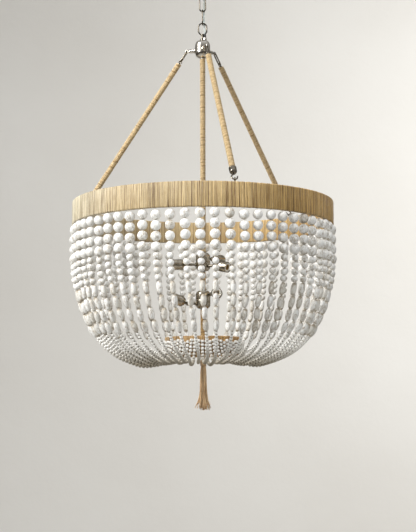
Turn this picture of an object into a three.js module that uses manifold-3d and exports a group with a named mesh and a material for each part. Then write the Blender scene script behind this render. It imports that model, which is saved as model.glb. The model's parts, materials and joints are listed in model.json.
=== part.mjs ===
// A chandelier hung with strings of wooden beads, held by a chain under a ceiling canopy.
// Lengths are millimetres, z points up, and the origin is the middle of the ceiling plate's top face.
// Azimuths are degrees from the front (-y), growing towards +x. A height named "level" is measured
// from the middle of the big hoop, which hangs hoopDrop below the ceiling.
import * as THREE from "three";
import { mergeVertices } from "three/addons/utils/BufferGeometryUtils.js";
import Module from "manifold-3d";

const wasm = await Module();
wasm.setup();

// General fits
const clearance = 0.3;
const overrun = 1;
const weldShare = 0.001;

// Big hoop: a flat steel band inside a skin of wound raffia
const hoopDrop = 600;
const hoopRadius = 305;
const hoopThickness = 10;
const hoopHeight = 53.4;
const hoopSkin = 1.8;
const hoopWireRoom = 3.6;

// Bead strings
const strandCount = 60;
const strandsPerGroup = 10;
const firstStrandAzimuth = -1.3;
const stringRadius = 0.9;
const largeBead = { count: 4, radius: 11.2, pitch: 22.4 };
const mediumBead = { count: 4, radius: 7.6, pitch: 15 };
const spindleBead = { count: 4, radius: 6.6, pitch: 28.6 };
const smallBeadRadius = 4;
const smallRunSteps = 6;
const carrierRadius = 1;
const bowlDepth = 323;
const farStringRise = 28;
// The string's path as shares: out from the ring's face to the hoop, down the bowl's depth, and
// of the rise of the string that hangs farthest back, since the strings behind are drawn up tighter.
const bowlShares = [
  [1, 0, 0],
  [1, 0.2, 0],
  [0.998, 0.38, 0],
  [0.965, 0.47, 0],
  [0.932, 0.56, 0.05],
  [0.862, 0.67, 0.2],
  [0.763, 0.785, 0.5],
  [0.59, 0.9, 0.85],
  [0.37, 0.972, 1],
  [0.18, 1, 1],
  [0.05, 0.978, 0.85],
  [0.003, 0.92, 0.4],
  [0, 0.832, 0],
];

// Ring at the foot of the bowl
const ringRadius = 89;
const ringThickness = 10;
const ringHeight = 42;
const ringLip = 8.2;
const ringSegments = 20;
const spiderWidth = 12;
const spiderThickness = 3;
const spiderRise = 9.3;
const spiderBossRadius = 10;

// Ceiling plate, canopy and the loop under it
const plateLength = 100;
const plateWidth = 22;
const plateThickness = 3;
const plateSlotLength = 16;
const plateSlotWidth = 5;
const plateSlotOffset = 34;
const bossRadius = 8;
const bossLength = 12;
const canopyRadius = 62.5;
const canopyHeight = 36;
const canopyWall = 1.5;
const canopyRimGap = 0.5;
const canopySteps = 4;
const collarRadius = 13;
const collarHeight = 8;
const threadRadius = 5;

// Chain and loops
const loopWire = 1.65;
const loopWidth = 23;
const loopHeight = 31.5;
const linkWire = 1.5;
const linkWidth = 17;
const linkHeight = 39;

// Power cord, run beside the chain in the corner between its links
const cordRadius = 2;
const cordOffset = { x: 4, y: 4.2 };
const cordFlexGap = 2.8;
const bushingRadius = 3.2;
const bushingHeight = 9.5;
const bushingOffset = { x: 5.6, y: -5 };
const bushingSeatHeight = 6;

// Hub with three arms, and the neck that carries its loop
const hubRadius = 17.8;
const hubHeight = 43;
const hubRound = 11;
const neckRadius = 3.5;
const neckHeight = 14;
const hubArmRadius = 4.6;
const hubArmReach = 39;
const hubArmDrop = 24;
const firstRodAzimuth = 13;
const rodCount = 3;

// Rods, their links, hooks and eyes
const eyeRadius = 3.5;
const eyeWire = 1.3;
const rodLinkWire = 1.2;
const rodLinkWidth = 8.6;
const rodLinkHeight = 31;
const rodCoreRadius = 3;
const rodWrapRadius = 6.9;
const rodCapRadius = 8.4;
const rodCapHeight = 17;
const rodCapGrip = 5;
const rodCapFootShare = 0.6;
const hookWire = 1.4;
const hookRadius = 6.5;
const hookThroat = 11;
const hoopEyeStand = 5.3;
const hoopEyeShank = 6;

// Stem, its raffia, the two lamp clusters and the lead inside
const stemRadius = 4.75;
const stemBore = 3;
const stemGrip = 14;
const stemWrapRadius = 6.7;
const leadRadius = 2.5;
const clusterRadius = 16.75;
const clusterHeight = 42;
const clusterRound = 6;
const upperClusterLevel = -110;
const lowerClusterLevel = -198.5;

// Lamp holders: azimuth of the arm, its height on the cluster, the roll that turns the knuckle's
// pin from level to upright, and the angle that the holder is set to
const socketArmRadius = 3.2;
const socketPivotReach = 36;
const earRadius = 5;
const earThickness = 3;
const pinRadius = 1.7;
const socketBase = 7;
const socketLength = 28;
const socketRadius = 12.8;
const socketWall = 2.2;
const socketFootRadius = 7;
const socketFloor = 6;
const lampHolders = [
  { cluster: upperClusterLevel, azimuth: -92, rise: -6, roll: 0, set: 0 },
  { cluster: upperClusterLevel, azimuth: 55, rise: -10, roll: 0, set: -12 },
  { cluster: upperClusterLevel, azimuth: 142, rise: 10, roll: 0, set: 0 },
  { cluster: lowerClusterLevel, azimuth: -88, rise: -9, roll: 0, set: 20 },
  { cluster: lowerClusterLevel, azimuth: 72, rise: 12, roll: 90, set: 78 },
  { cluster: lowerClusterLevel, azimuth: 178, rise: 0, roll: 0, set: 12 },
];

// Finial and tassel
const finialRadius = 7;
const finialHeight = 6;
const tasselEyeRadius = 3.2;
const tasselEyeWire = 1;
const tasselLoopWire = 1.2;
const tasselHeadRadius = 7.5;
const tasselHeadHeight = 15;
const tasselShoulderShare = 0.9;
const tasselSkirtLength = 104;
const tasselSkirtTop = 6.5;
const tasselSkirtWaist = 8.4;
const tasselSkirtEnd = 15;
const tasselFlareShare = 0.28;

// How finely round things are cut
const fineSides = 20;
const roundSides = 12;
const pinSides = 8;
const wireSides = 6;
const cordSides = 8;
const loopSteps = 12;
const eyeSteps = 8;
const eyeSides = 5;

const nickel = { color: 0xb9b4a8, roughness: 0.18, metalness: 1 };
const steel = { color: 0x8d8a84, roughness: 0.4, metalness: 1 };
const raffia = { color: 0xceba90, roughness: 0.85, metalness: 0 };
const jute = { color: 0xb08f5c, roughness: 0.9, metalness: 0 };
const whiteWood = { color: 0xe9e6e0, roughness: 0.7, metalness: 0 };
const clearPlastic = { color: 0xcfd6d2, roughness: 0.2, metalness: 0 };
const blackRubber = { color: 0x1c1b1a, roughness: 0.6, metalness: 0 };

const part = new THREE.Group();

function radians(degrees) {
  return THREE.MathUtils.degToRad(degrees);
}

function heightOf(level) {
  return level - hoopDrop;
}

function polar(azimuth, radius, height) {
  const angle = radians(azimuth);
  return new THREE.Vector3(radius * Math.sin(angle), -radius * Math.cos(angle), height);
}

// Turns local +x to point outwards at an azimuth.
function outwards(azimuth, height = 0) {
  const turn = new THREE.Matrix4().makeRotationZ(radians(azimuth) - Math.PI / 2);
  return turn.setPosition(0, 0, height);
}

function add(name, geometry, finish, parent = part) {
  const mesh = new THREE.Mesh(geometry, new THREE.MeshStandardMaterial(finish));
  mesh.name = name;
  parent.add(mesh);
  return mesh;
}

// Geometry with shared corners, faces pointing out.
function closed(geometry) {
  const bare = new THREE.BufferGeometry();
  bare.setAttribute("position", geometry.getAttribute("position"));
  if (geometry.index) bare.setIndex(geometry.index);
  const shape = mergeVertices(bare, clearance * weldShare);
  const index = shape.index.array;
  const corner = [new THREE.Vector3(), new THREE.Vector3(), new THREE.Vector3()];
  let volume = 0;
  for (let i = 0; i < index.length; i += 3) {
    corner.forEach((c, k) => c.fromBufferAttribute(shape.attributes.position, index[i + k]));
    volume += corner[0].dot(corner[1].clone().cross(corner[2]));
  }
  const order = [];
  for (let i = 0; i < index.length; i += 3) {
    const [a, b, c] = index.slice(i, i + 3);
    if (a !== b && b !== c && c !== a) order.push(a, ...(volume < 0 ? [c, b] : [b, c]));
  }
  shape.setIndex(order);
  return shape;
}

function solid(geometry) {
  const shape = closed(geometry);
  const mesh = new wasm.Mesh({
    numProp: 3,
    vertProperties: new Float32Array(shape.attributes.position.array),
    triVerts: new Uint32Array(shape.index.array),
  });
  return new wasm.Manifold(mesh);
}

function geometryOf(manifold) {
  const mesh = manifold.getMesh();
  const geometry = new THREE.BufferGeometry();
  geometry.setAttribute("position", new THREE.BufferAttribute(mesh.vertProperties, 3));
  geometry.setIndex(new THREE.BufferAttribute(mesh.triVerts, 1));
  return geometry;
}

function join(...geometries) {
  return geometryOf(geometries.map(solid).reduce((whole, piece) => whole.add(piece)));
}

function cut(geometry, ...tools) {
  return geometryOf(tools.map(solid).reduce((whole, tool) => whole.subtract(tool), solid(geometry)));
}

// A body of revolution about z; the outline's points are [radius, height].
function turned(outline, sides = roundSides) {
  const points = outline.map(([radius, height]) => new THREE.Vector2(radius, height));
  points.push(points[0].clone());
  return closed(new THREE.LatheGeometry(points, sides)).rotateX(Math.PI / 2);
}

// A tube wall about z between two heights, or a solid rod where the bore is nought.
function sleeve(outer, bore, low, high, sides = roundSides) {
  return turned([[bore, low], [outer, low], [outer, high], [bore, high]], sides);
}

function rod(radius, low, high, sides = pinSides) {
  return sleeve(radius, 0, low, high, sides);
}

// A barrel about z with rounded ends, with an optional bore.
function barrel(radius, low, high, round, bore = 0) {
  const chamfer = round / 2;
  return turned([
    [bore, low],
    [radius - round, low],
    [radius - round / 3, low + chamfer / 2],
    [radius, low + round],
    [radius, high - round],
    [radius - round / 3, high - chamfer / 2],
    [radius - round, high],
    [bore, high],
  ]);
}

// Joins rings of points into one skin, closed on itself or capped at both ends.
function loft(rings, endless = false) {
  const sides = rings[0].length;
  const index = [];
  const spans = endless ? rings.length : rings.length - 1;
  for (let i = 0; i < spans; i++) {
    const here = i * sides;
    const next = ((i + 1) % rings.length) * sides;
    for (let j = 0; j < sides; j++) {
      const k = (j + 1) % sides;
      index.push(here + j, here + k, next + j, next + j, here + k, next + k);
    }
  }
  const end = (rings.length - 1) * sides;
  for (let j = 1; j < sides - 1 && !endless; j++) {
    index.push(0, j + 1, j, end, end + j, end + j + 1);
  }
  const geometry = new THREE.BufferGeometry().setFromPoints(rings.flat());
  geometry.setIndex(index);
  return closed(geometry);
}

const across = new THREE.Vector3(0, 1, 0);

// A ring of points about a centre, its first point in the direction given.
function wireRing(centre, first, second, radius, sides = wireSides, turn = 0) {
  const ring = [];
  for (let j = 0; j < sides; j++) {
    const angle = (2 * Math.PI * j) / sides + turn;
    const point = centre.clone();
    point.addScaledVector(first, radius * Math.cos(angle));
    ring.push(point.addScaledVector(second, radius * Math.sin(angle)));
  }
  return ring;
}

// A round wire in the x-z plane through the points given, endless where its end meets its start.
function wire(points, radius, endless = false) {
  const last = points.length - 1;
  const rings = points.map((centre, i) => {
    const after = i < last ? points[i + 1] : points[endless ? 0 : last];
    const before = i > 0 ? points[i - 1] : points[endless ? last : 0];
    const out = after.clone().sub(before).normalize().cross(across);
    return wireRing(centre, out, across, radius);
  });
  return loft(rings, endless);
}

// A long link standing in the x-z plane about the origin; the sizes are outer ones.
function link(width, height, radius) {
  const bend = width / 2 - radius;
  const straight = height / 2 - width / 2;
  const points = [];
  for (let i = 0; i < loopSteps; i++) {
    const angle = (2 * Math.PI * i) / loopSteps;
    const side = i % (loopSteps / 2) ? Math.sign(Math.sin(angle)) : 0;
    points.push(new THREE.Vector3(bend * Math.cos(angle), 0, bend * Math.sin(angle) + side * straight));
  }
  return wire(points, radius, true);
}

// A ring about the origin in the y-z plane.
function eye(radius, wireRadius) {
  return new THREE.TorusGeometry(radius, wireRadius, eyeSides, eyeSteps).rotateY(Math.PI / 2);
}

// Heights of the chain, worked down from the canopy
const canopyBottom = -canopyRimGap - canopyHeight;
const collarBottom = canopyBottom - clearance - collarHeight;
const canopyLoopMiddle = collarBottom + loopWire - loopHeight / 2;
const canopyLoopPivot = canopyLoopMiddle - loopHeight / 2 + loopWire;
const loopToLink = loopWire + linkWire + clearance;
const upperLinkMiddle = canopyLoopPivot + loopToLink + linkWire - linkHeight / 2;
const upperLinkPivot = upperLinkMiddle - linkHeight / 2 + linkWire;
const lowerLinkMiddle = upperLinkPivot + 2 * linkWire + clearance + linkWire - linkHeight / 2;
const lowerLinkPivot = lowerLinkMiddle - linkHeight / 2 + linkWire;
const topLoopMiddle = lowerLinkPivot + loopToLink + loopWire - loopHeight / 2;
const topLoopBottom = topLoopMiddle - loopHeight / 2;
const hubTop = topLoopBottom + loopWire - neckHeight;
const hubBottom = hubTop - hubHeight;

function buildCeilingPlate() {
  const outline = new THREE.Shape();
  const end = plateWidth / 2;
  const straight = plateLength / 2 - end;
  outline.absarc(straight, 0, end, -Math.PI / 2, Math.PI / 2);
  outline.absarc(-straight, 0, end, Math.PI / 2, Math.PI * 1.5);
  for (const side of [-1, 1]) {
    const slot = new THREE.Path();
    const reach = plateSlotLength / 2 - plateSlotWidth / 2;
    const middle = side * plateSlotOffset;
    slot.absarc(middle + reach, 0, plateSlotWidth / 2, -Math.PI / 2, Math.PI / 2);
    slot.absarc(middle - reach, 0, plateSlotWidth / 2, Math.PI / 2, Math.PI * 1.5);
    outline.holes.push(slot);
  }
  const plate = new THREE.ExtrudeGeometry(outline, {
    depth: plateThickness,
    bevelEnabled: false,
    curveSegments: wireSides / 2,
  }).translate(0, 0, -plateThickness);
  const boss = rod(bossRadius, -plateThickness - bossLength, -plateThickness / 2);
  const hole = rod(threadRadius + clearance, -plateThickness - bossLength - overrun, -plateThickness - overrun);
  add("ceiling_plate", cut(join(plate, boss), hole), steel);
}

function buildCanopy() {
  const rim = -canopyRimGap;
  const skin = (inset) => {
    const points = [];
    for (let i = 0; i <= canopySteps; i++) {
      const angle = (Math.PI / 2) * (i / canopySteps);
      const radius = Math.max((canopyRadius - inset) * Math.cos(angle), threadRadius + clearance);
      points.push([radius, rim - (canopyHeight - inset) * Math.sin(angle)]);
    }
    return points;
  };
  add("ceiling_canopy", turned([...skin(0), ...skin(canopyWall).reverse()], fineSides), nickel);
}

function buildCanopyLoop() {
  const collar = turned([
    [0, collarBottom],
    [collarRadius - collarHeight / 2, collarBottom],
    [collarRadius, collarBottom + collarHeight / 2],
    [collarRadius, collarBottom + collarHeight],
    [0, collarBottom + collarHeight],
  ]);
  const thread = rod(threadRadius, collarBottom + collarHeight / 2, -plateThickness - overrun - clearance);
  const loop = link(loopWidth, loopHeight, loopWire).rotateZ(Math.PI / 2).translate(0, 0, canopyLoopMiddle);
  add("canopy_loop", join(collar, thread, loop), nickel);
}

function buildChain() {
  const upper = link(linkWidth, linkHeight, linkWire).translate(0, 0, upperLinkMiddle);
  add("chain_link_upper", upper, nickel);
  const lower = link(linkWidth, linkHeight, linkWire).rotateZ(Math.PI / 2).translate(0, 0, lowerLinkMiddle);
  add("chain_link_lower", lower, nickel);
}

// The cord's stretches, each held by the piece of chain beside it and parted at the chain's pivots.
function buildCord() {
  const straight = (name, low, high) => {
    const stretch = rod(cordRadius, low, high, cordSides).translate(cordOffset.x, cordOffset.y, 0);
    add(name, stretch, clearPlastic);
  };
  const flex = cordFlexGap / 2;
  straight("power_cord_ceiling", canopyLoopPivot + flex, collarBottom - clearance);
  straight("power_cord_upper", upperLinkPivot + flex, canopyLoopPivot - flex);
  straight("power_cord_lower", lowerLinkPivot + flex, upperLinkPivot - flex);
  const top = lowerLinkPivot - flex;
  const bushingTop = hubTop + bushingSeatHeight + bushingHeight + 2 * clearance;
  const fall = top - bushingTop;
  const shape = new THREE.Shape();
  for (let i = 0; i < cordSides; i++) {
    const angle = (2 * Math.PI * (i + 1 / 2)) / cordSides;
    const move = i ? "lineTo" : "moveTo";
    shape[move](cordRadius * Math.cos(angle), cordRadius * Math.sin(angle));
  }
  const ease = fall / 3;
  const route = new THREE.CubicBezierCurve3(
    new THREE.Vector3(cordOffset.x, cordOffset.y, top),
    new THREE.Vector3(cordOffset.x, cordOffset.y, top - ease),
    new THREE.Vector3(bushingOffset.x, bushingOffset.y, bushingTop + ease),
    new THREE.Vector3(bushingOffset.x, bushingOffset.y, bushingTop),
  );
  const stretch = new THREE.ExtrudeGeometry(shape, { steps: wireSides, extrudePath: route });
  add("power_cord_fixture", stretch, clearPlastic);
  const seat = hubTop + bushingSeatHeight + clearance;
  const bushing = rod(bushingRadius, seat, seat + bushingHeight);
  add("cord_bushing", bushing.translate(bushingOffset.x, bushingOffset.y, 0), blackRubber);
}

function rodAzimuth(index) {
  return firstRodAzimuth + (360 / rodCount) * index;
}

const hubArmHeight = hubTop - hubArmDrop;
const hoopEyeHeight = heightOf(hoopHeight / 2 + hoopEyeStand);
const hoopEyeReach = hoopRadius - hoopThickness / 2;
const rodFrameLength = Math.hypot(hoopEyeReach - hubArmReach, hubArmHeight - hoopEyeHeight);

function buildHub() {
  const body = barrel(hubRadius, hubBottom, hubTop, hubRound);
  const seat = rod(bushingRadius + clearance, hubTop - overrun, hubTop + bushingSeatHeight);
  seat.translate(bushingOffset.x, bushingOffset.y, 0);
  const arms = [];
  for (let i = 0; i < rodCount; i++) {
    const start = hubRadius / 2;
    const arm = rod(hubArmRadius, start, hubArmReach - eyeRadius, pinSides).rotateY(Math.PI / 2);
    const ring = eye(eyeRadius, eyeWire).rotateZ(Math.PI / 2).translate(hubArmReach, 0, 0);
    arms.push(arm.applyMatrix4(outwards(rodAzimuth(i), hubArmHeight)));
    arms.push(ring.applyMatrix4(outwards(rodAzimuth(i), hubArmHeight)));
  }
  const hole = rod(stemRadius + clearance, hubBottom - overrun, hubBottom + stemGrip + clearance, pinSides);
  add("suspension_hub", cut(join(body, seat, ...arms), hole), nickel);
  const loop = link(loopWidth, loopHeight, loopWire).translate(0, 0, topLoopMiddle);
  const stub = rod(neckRadius, hubTop + clearance, topLoopBottom + loopWire);
  add("top_loop", join(loop, stub), nickel);
}

// One rod with its link, core, wrap and hook, in a frame whose z runs up along the rod from
// the eye on the hoop to the eye on the hub, and whose x runs along the hoop.
function buildRod(index) {
  const azimuth = rodAzimuth(index);
  const top = polar(azimuth, hubArmReach, hubArmHeight);
  const foot = polar(azimuth, hoopEyeReach, hoopEyeHeight);
  const along = polar(azimuth + 90, 1, 0);
  const up = top.clone().sub(foot).normalize();
  const frame = new THREE.Group();
  frame.setRotationFromMatrix(new THREE.Matrix4().makeBasis(along, up.clone().cross(along), up));
  frame.position.copy(top);
  part.add(frame);
  const number = index + 1;

  const linkTop = -eyeRadius + eyeWire + 2 * rodLinkWire + clearance;
  const shackle = link(rodLinkWidth, rodLinkHeight, rodLinkWire);
  add(`rod_link_${number}`, shackle.translate(0, 0, linkTop - rodLinkHeight / 2), nickel, frame);

  const linkPivot = linkTop - rodLinkHeight + rodLinkWire;
  const eyeMiddle = linkPivot + rodLinkWire + eyeWire + clearance - eyeRadius;
  const wrapTop = eyeMiddle - eyeRadius - eyeWire;
  const hookPivot = -rodFrameLength + eyeRadius - eyeWire - hookWire - 2 * clearance;
  const capBottom = hookPivot + hookRadius + hookThroat;
  const capTop = capBottom + rodCapHeight;
  const coreBottom = capBottom + rodCapHeight / 2;
  const core = rod(rodCoreRadius, coreBottom, wrapTop + eyeWire, cordSides);
  const ring = eye(eyeRadius, eyeWire).translate(0, 0, eyeMiddle);
  add(`rod_core_${number}`, join(core, ring), steel, frame);

  const wrapBottom = capTop - rodCapGrip;
  const wrap = sleeve(rodWrapRadius, rodCoreRadius + clearance, wrapBottom, wrapTop, pinSides);
  add(`rod_wrap_${number}`, wrap, jute, frame);

  const capBore = rodWrapRadius + clearance;
  const cap = turned([
    [0, capBottom],
    [rodCapRadius * rodCapFootShare, capBottom],
    [rodCapRadius, capBottom + rodCapGrip],
    [rodCapRadius, capTop],
    [capBore, capTop],
    [capBore, wrapBottom - clearance],
    [rodCoreRadius + clearance, wrapBottom - clearance],
    [rodCoreRadius + clearance, coreBottom - clearance],
    [0, coreBottom - clearance],
  ], pinSides);
  const bend = hookPivot + hookRadius;
  const route = [
    [0, capBottom + hookWire],
    [-hookRadius / 2, capBottom - hookThroat / 4],
    [-hookRadius, bend + hookThroat / 4],
    [-hookRadius * Math.SQRT1_2, bend - hookRadius * Math.SQRT1_2],
    [0, hookPivot],
    [hookRadius * Math.SQRT1_2, bend - hookRadius * Math.SQRT1_2],
    [hookRadius, bend],
    [hookRadius + hookWire, bend + hookThroat / 3],
  ].map(([x, z]) => new THREE.Vector3(x, 0, z));
  const hook = wire(route, hookWire);
  add(`rod_hook_${number}`, join(cap, hook), nickel, frame);
}

// A screw eye standing on the hoop, in the frame of its azimuth.
function buildHoopEye(index) {
  const ring = eye(eyeRadius, eyeWire).rotateZ(Math.PI / 2).translate(hoopEyeReach, 0, hoopEyeHeight);
  const bandTop = heightOf(hoopHeight / 2);
  const shank = rod(eyeWire, bandTop - hoopEyeShank, hoopEyeHeight - eyeRadius).translate(hoopEyeReach, 0, 0);
  const screw = join(ring, shank).applyMatrix4(outwards(rodAzimuth(index)));
  add(`hoop_eye_${index + 1}`, screw, nickel);
}

// A ring-shaped body with its corners at the bead strings' azimuths.
function hoopBody(outline, sides) {
  return turned(outline, sides).rotateZ(radians(firstStrandAzimuth));
}

// A channel open at its foot: a skin over a band's two faces and its top edge.
function channel(outer, thickness, low, high, skin) {
  const inner = outer - thickness;
  return [
    [inner, low],
    [inner, high],
    [outer, high],
    [outer, low],
    [outer - skin, low],
    [outer - skin, high - skin],
    [inner + skin, high - skin],
    [inner + skin, low],
  ];
}

function buildHoop() {
  const low = heightOf(-hoopHeight / 2);
  const high = heightOf(hoopHeight / 2);
  const holes = [];
  for (let i = 0; i < rodCount; i++) {
    const depth = hoopEyeShank + clearance;
    const hole = rod(eyeWire + clearance, high - depth, high + overrun).translate(hoopEyeReach, 0, 0);
    holes.push(hole.applyMatrix4(outwards(rodAzimuth(i))));
  }
  const skin = hoopBody(channel(hoopRadius, hoopThickness, low, high, hoopSkin), strandCount);
  add("hoop_wrap", cut(skin, ...holes), raffia);
  const inset = hoopSkin + clearance;
  const band = [
    [hoopRadius - hoopThickness + inset, low + hoopWireRoom],
    [hoopRadius - inset, low + hoopWireRoom],
    [hoopRadius - inset, high - inset],
    [hoopRadius - hoopThickness + inset, high - inset],
  ];
  add("hoop_band", cut(hoopBody(band, strandCount), ...holes), steel);
}

const strandSides = 3;
const strandBack = smallBeadRadius * Math.sin((2 * Math.PI) / strandSides);
const ringFace = ringRadius + strandBack + clearance;
const strandRadius = hoopRadius - hoopThickness / 2;
const carrierHeight = heightOf(-hoopHeight / 2) + hoopWireRoom - clearance - carrierRadius;

// The stations of one string: how far along it, and how thick it is there.
function strandStations(length) {
  const stations = [[0, stringRadius]];
  let along = carrierHeight - heightOf(-hoopHeight / 2) + clearance;
  for (const bead of [largeBead, mediumBead, spindleBead]) {
    for (let i = 0; i < bead.count; i++) {
      stations.push([along, stringRadius], [along + bead.pitch / 2, bead.radius]);
      along += bead.pitch;
    }
  }
  stations.push([along, stringRadius]);
  const rest = length - along;
  const lead = 2 * smallBeadRadius;
  for (let i = 0; i <= smallRunSteps; i++) {
    const place = along + lead / 2 + ((rest - lead / 2) * i) / smallRunSteps;
    stations.push([place, smallBeadRadius]);
  }
  return stations;
}

// A string of beads in the radial plane of its azimuth.
function strand(azimuth) {
  const start = heightOf(-hoopHeight / 2);
  const drawnUp = farStringRise * Math.max(0, -Math.cos(radians(azimuth)));
  const points = bowlShares.map(([out, down, rise]) => {
    const height = start - down * bowlDepth + rise * drawnUp;
    return polar(azimuth, ringFace + out * (strandRadius - ringFace), height);
  });
  points.unshift(polar(azimuth, strandRadius, carrierHeight));
  const curve = new THREE.CatmullRomCurve3(points, false, "chordal");
  const length = curve.getLength();
  const sideways = polar(azimuth + 90, 1, 0);
  const rings = strandStations(length).map(([along, radius], i) => {
    const share = Math.min(along / length, 1);
    const normal = curve.getTangentAt(share).cross(sideways);
    const turn = (Math.PI * i) / strandSides;
    return wireRing(curve.getPointAt(share), sideways, normal, radius, strandSides, turn);
  });
  return loft(rings);
}

// The wire inside the hoop's foot that a group of strings is tied to.
function carrier(firstAzimuth, spacing) {
  const rings = [];
  for (let i = -1; i <= strandsPerGroup; i++) {
    const end = i < 0 || i === strandsPerGroup;
    const nearest = Math.min(Math.max(i, 0), strandsPerGroup - 1);
    const azimuth = firstAzimuth + spacing * (end ? nearest + Math.sign(i) / 3 : i);
    const ring = [];
    for (const [out, up] of [[-1, 0], [0, -1], [1, 0], [0, 1]]) {
      ring.push(polar(azimuth, strandRadius + out * carrierRadius, carrierHeight + up * carrierRadius));
    }
    rings.push(ring);
  }
  return loft(rings);
}

function buildStrands() {
  const spacing = 360 / strandCount;
  for (let group = 0; group < strandCount / strandsPerGroup; group++) {
    const first = firstStrandAzimuth + group * strandsPerGroup * spacing;
    const strands = [];
    for (let i = 0; i < strandsPerGroup; i++) strands.push(strand(first + i * spacing));
    add(`bead_strands_${group + 1}`, join(carrier(first, spacing), ...strands), whiteWood);
  }
}

const stringEndShare = bowlShares[bowlShares.length - 1][1];
const ringTop = heightOf(-hoopHeight / 2) - bowlDepth * stringEndShare + ringLip;
const ringBottom = ringTop - ringHeight;
const spiderBottom = ringBottom + spiderRise;

function spiderBar(grow, reach) {
  const width = spiderWidth + 2 * grow;
  const height = spiderThickness + 2 * grow;
  const middle = spiderBottom + spiderThickness / 2;
  return new THREE.BoxGeometry(2 * reach, width, height).translate(0, 0, middle);
}

function buildRing() {
  const skin = hoopBody(channel(ringRadius, ringThickness, ringBottom, ringTop, hoopSkin), ringSegments);
  add("ring_wrap", cut(skin, spiderBar(clearance, ringRadius - ringThickness / 2)), raffia);
  const inset = hoopSkin + clearance;
  const innerFace = ringRadius - ringThickness + inset;
  const outerFace = ringRadius - inset;
  const band = hoopBody([
    [innerFace, ringBottom + overrun],
    [outerFace, ringBottom + overrun],
    [outerFace, ringTop - inset],
    [innerFace, ringTop - inset],
  ], ringSegments);
  const boss = rod(spiderBossRadius, spiderBottom, spiderBottom + spiderThickness + overrun, roundSides);
  const bar = spiderBar(0, ringRadius - ringThickness / 2);
  const hole = rod(stemRadius + clearance, spiderBottom - overrun, spiderBottom + spiderWidth, pinSides);
  add("ring_spider", cut(join(band, bar, boss), hole), steel);
}

const stemTop = hubBottom + stemGrip;
const finialTop = spiderBottom - clearance;

function buildStem() {
  const stemBottom = finialTop + clearance;
  add("stem_tube", sleeve(stemRadius, stemBore, stemBottom, stemTop, pinSides), steel);
  add("supply_lead", rod(leadRadius, stemBottom + overrun, stemTop - overrun, cordSides), blackRubber);
  const bore = stemRadius + clearance;
  const levels = [upperClusterLevel, lowerClusterLevel].map(heightOf);
  const half = clusterHeight / 2;
  const cover = (name, low, high) => {
    add(name, sleeve(stemWrapRadius, bore, low + clearance, high - clearance, pinSides), jute);
  };
  cover("stem_wrap_upper", levels[0] + half, hubBottom);
  cover("stem_wrap_middle", levels[1] + half, levels[0] - half);
  cover("stem_wrap_lower", spiderBottom + spiderThickness + overrun, levels[1] - half);
  ["cluster_body_upper", "cluster_body_lower"].forEach((name, i) => {
    add(name, barrel(clusterRadius, levels[i] - half, levels[i] + half, clusterRound, bore), nickel);
  });
}

// One half of a knuckle: a round ear and its neck, on the side of y that sign gives.
function ear(sign, neckEnd) {
  const near = clearance / 2;
  const middle = sign * (near + earThickness / 2);
  const disc = rod(earRadius, -earThickness / 2, earThickness / 2).rotateX(Math.PI / 2).translate(0, middle, 0);
  const neck = new THREE.BoxGeometry(Math.abs(neckEnd), earThickness, 2 * socketArmRadius);
  return join(disc, neck.translate(neckEnd / 2, middle, 0));
}

function buildLampHolder(holder, index) {
  const arm = new THREE.Group();
  arm.applyMatrix4(outwards(holder.azimuth, heightOf(holder.cluster + holder.rise)));
  const roll = new THREE.Group();
  roll.rotation.x = radians(holder.roll);
  arm.add(roll);
  part.add(arm);
  const number = index + 1;

  const tubeEnd = -earRadius - clearance;
  const tube = rod(socketArmRadius, clusterRadius + clearance, socketPivotReach + tubeEnd);
  tube.rotateY(Math.PI / 2).translate(-socketPivotReach, 0, 0);
  const pin = rod(pinRadius, -earThickness - clearance, earThickness / 2 + clearance).rotateX(-Math.PI / 2);
  const knuckle = join(tube, ear(1, tubeEnd - earThickness), pin);
  add(`socket_arm_${number}`, knuckle.translate(socketPivotReach, 0, 0), nickel, roll);

  const swing = new THREE.Group();
  swing.position.x = socketPivotReach;
  swing.rotation.y = -radians(holder.set);
  roll.add(swing);
  const mouth = socketBase + socketLength;
  const floor = socketBase + socketFloor;
  const cup = turned([
    [0, socketBase],
    [socketFootRadius, socketBase],
    [socketRadius, floor],
    [socketRadius, mouth],
    [socketRadius - socketWall, mouth],
    [socketRadius - socketWall, floor + socketWall],
    [0, floor + socketWall],
  ], pinSides).rotateY(Math.PI / 2);
  const hole = rod(pinRadius + clearance, -earThickness - overrun, overrun).rotateX(-Math.PI / 2);
  add(`lamp_socket_${number}`, cut(join(cup, ear(-1, socketBase + overrun)), hole), nickel, swing);
}

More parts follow.
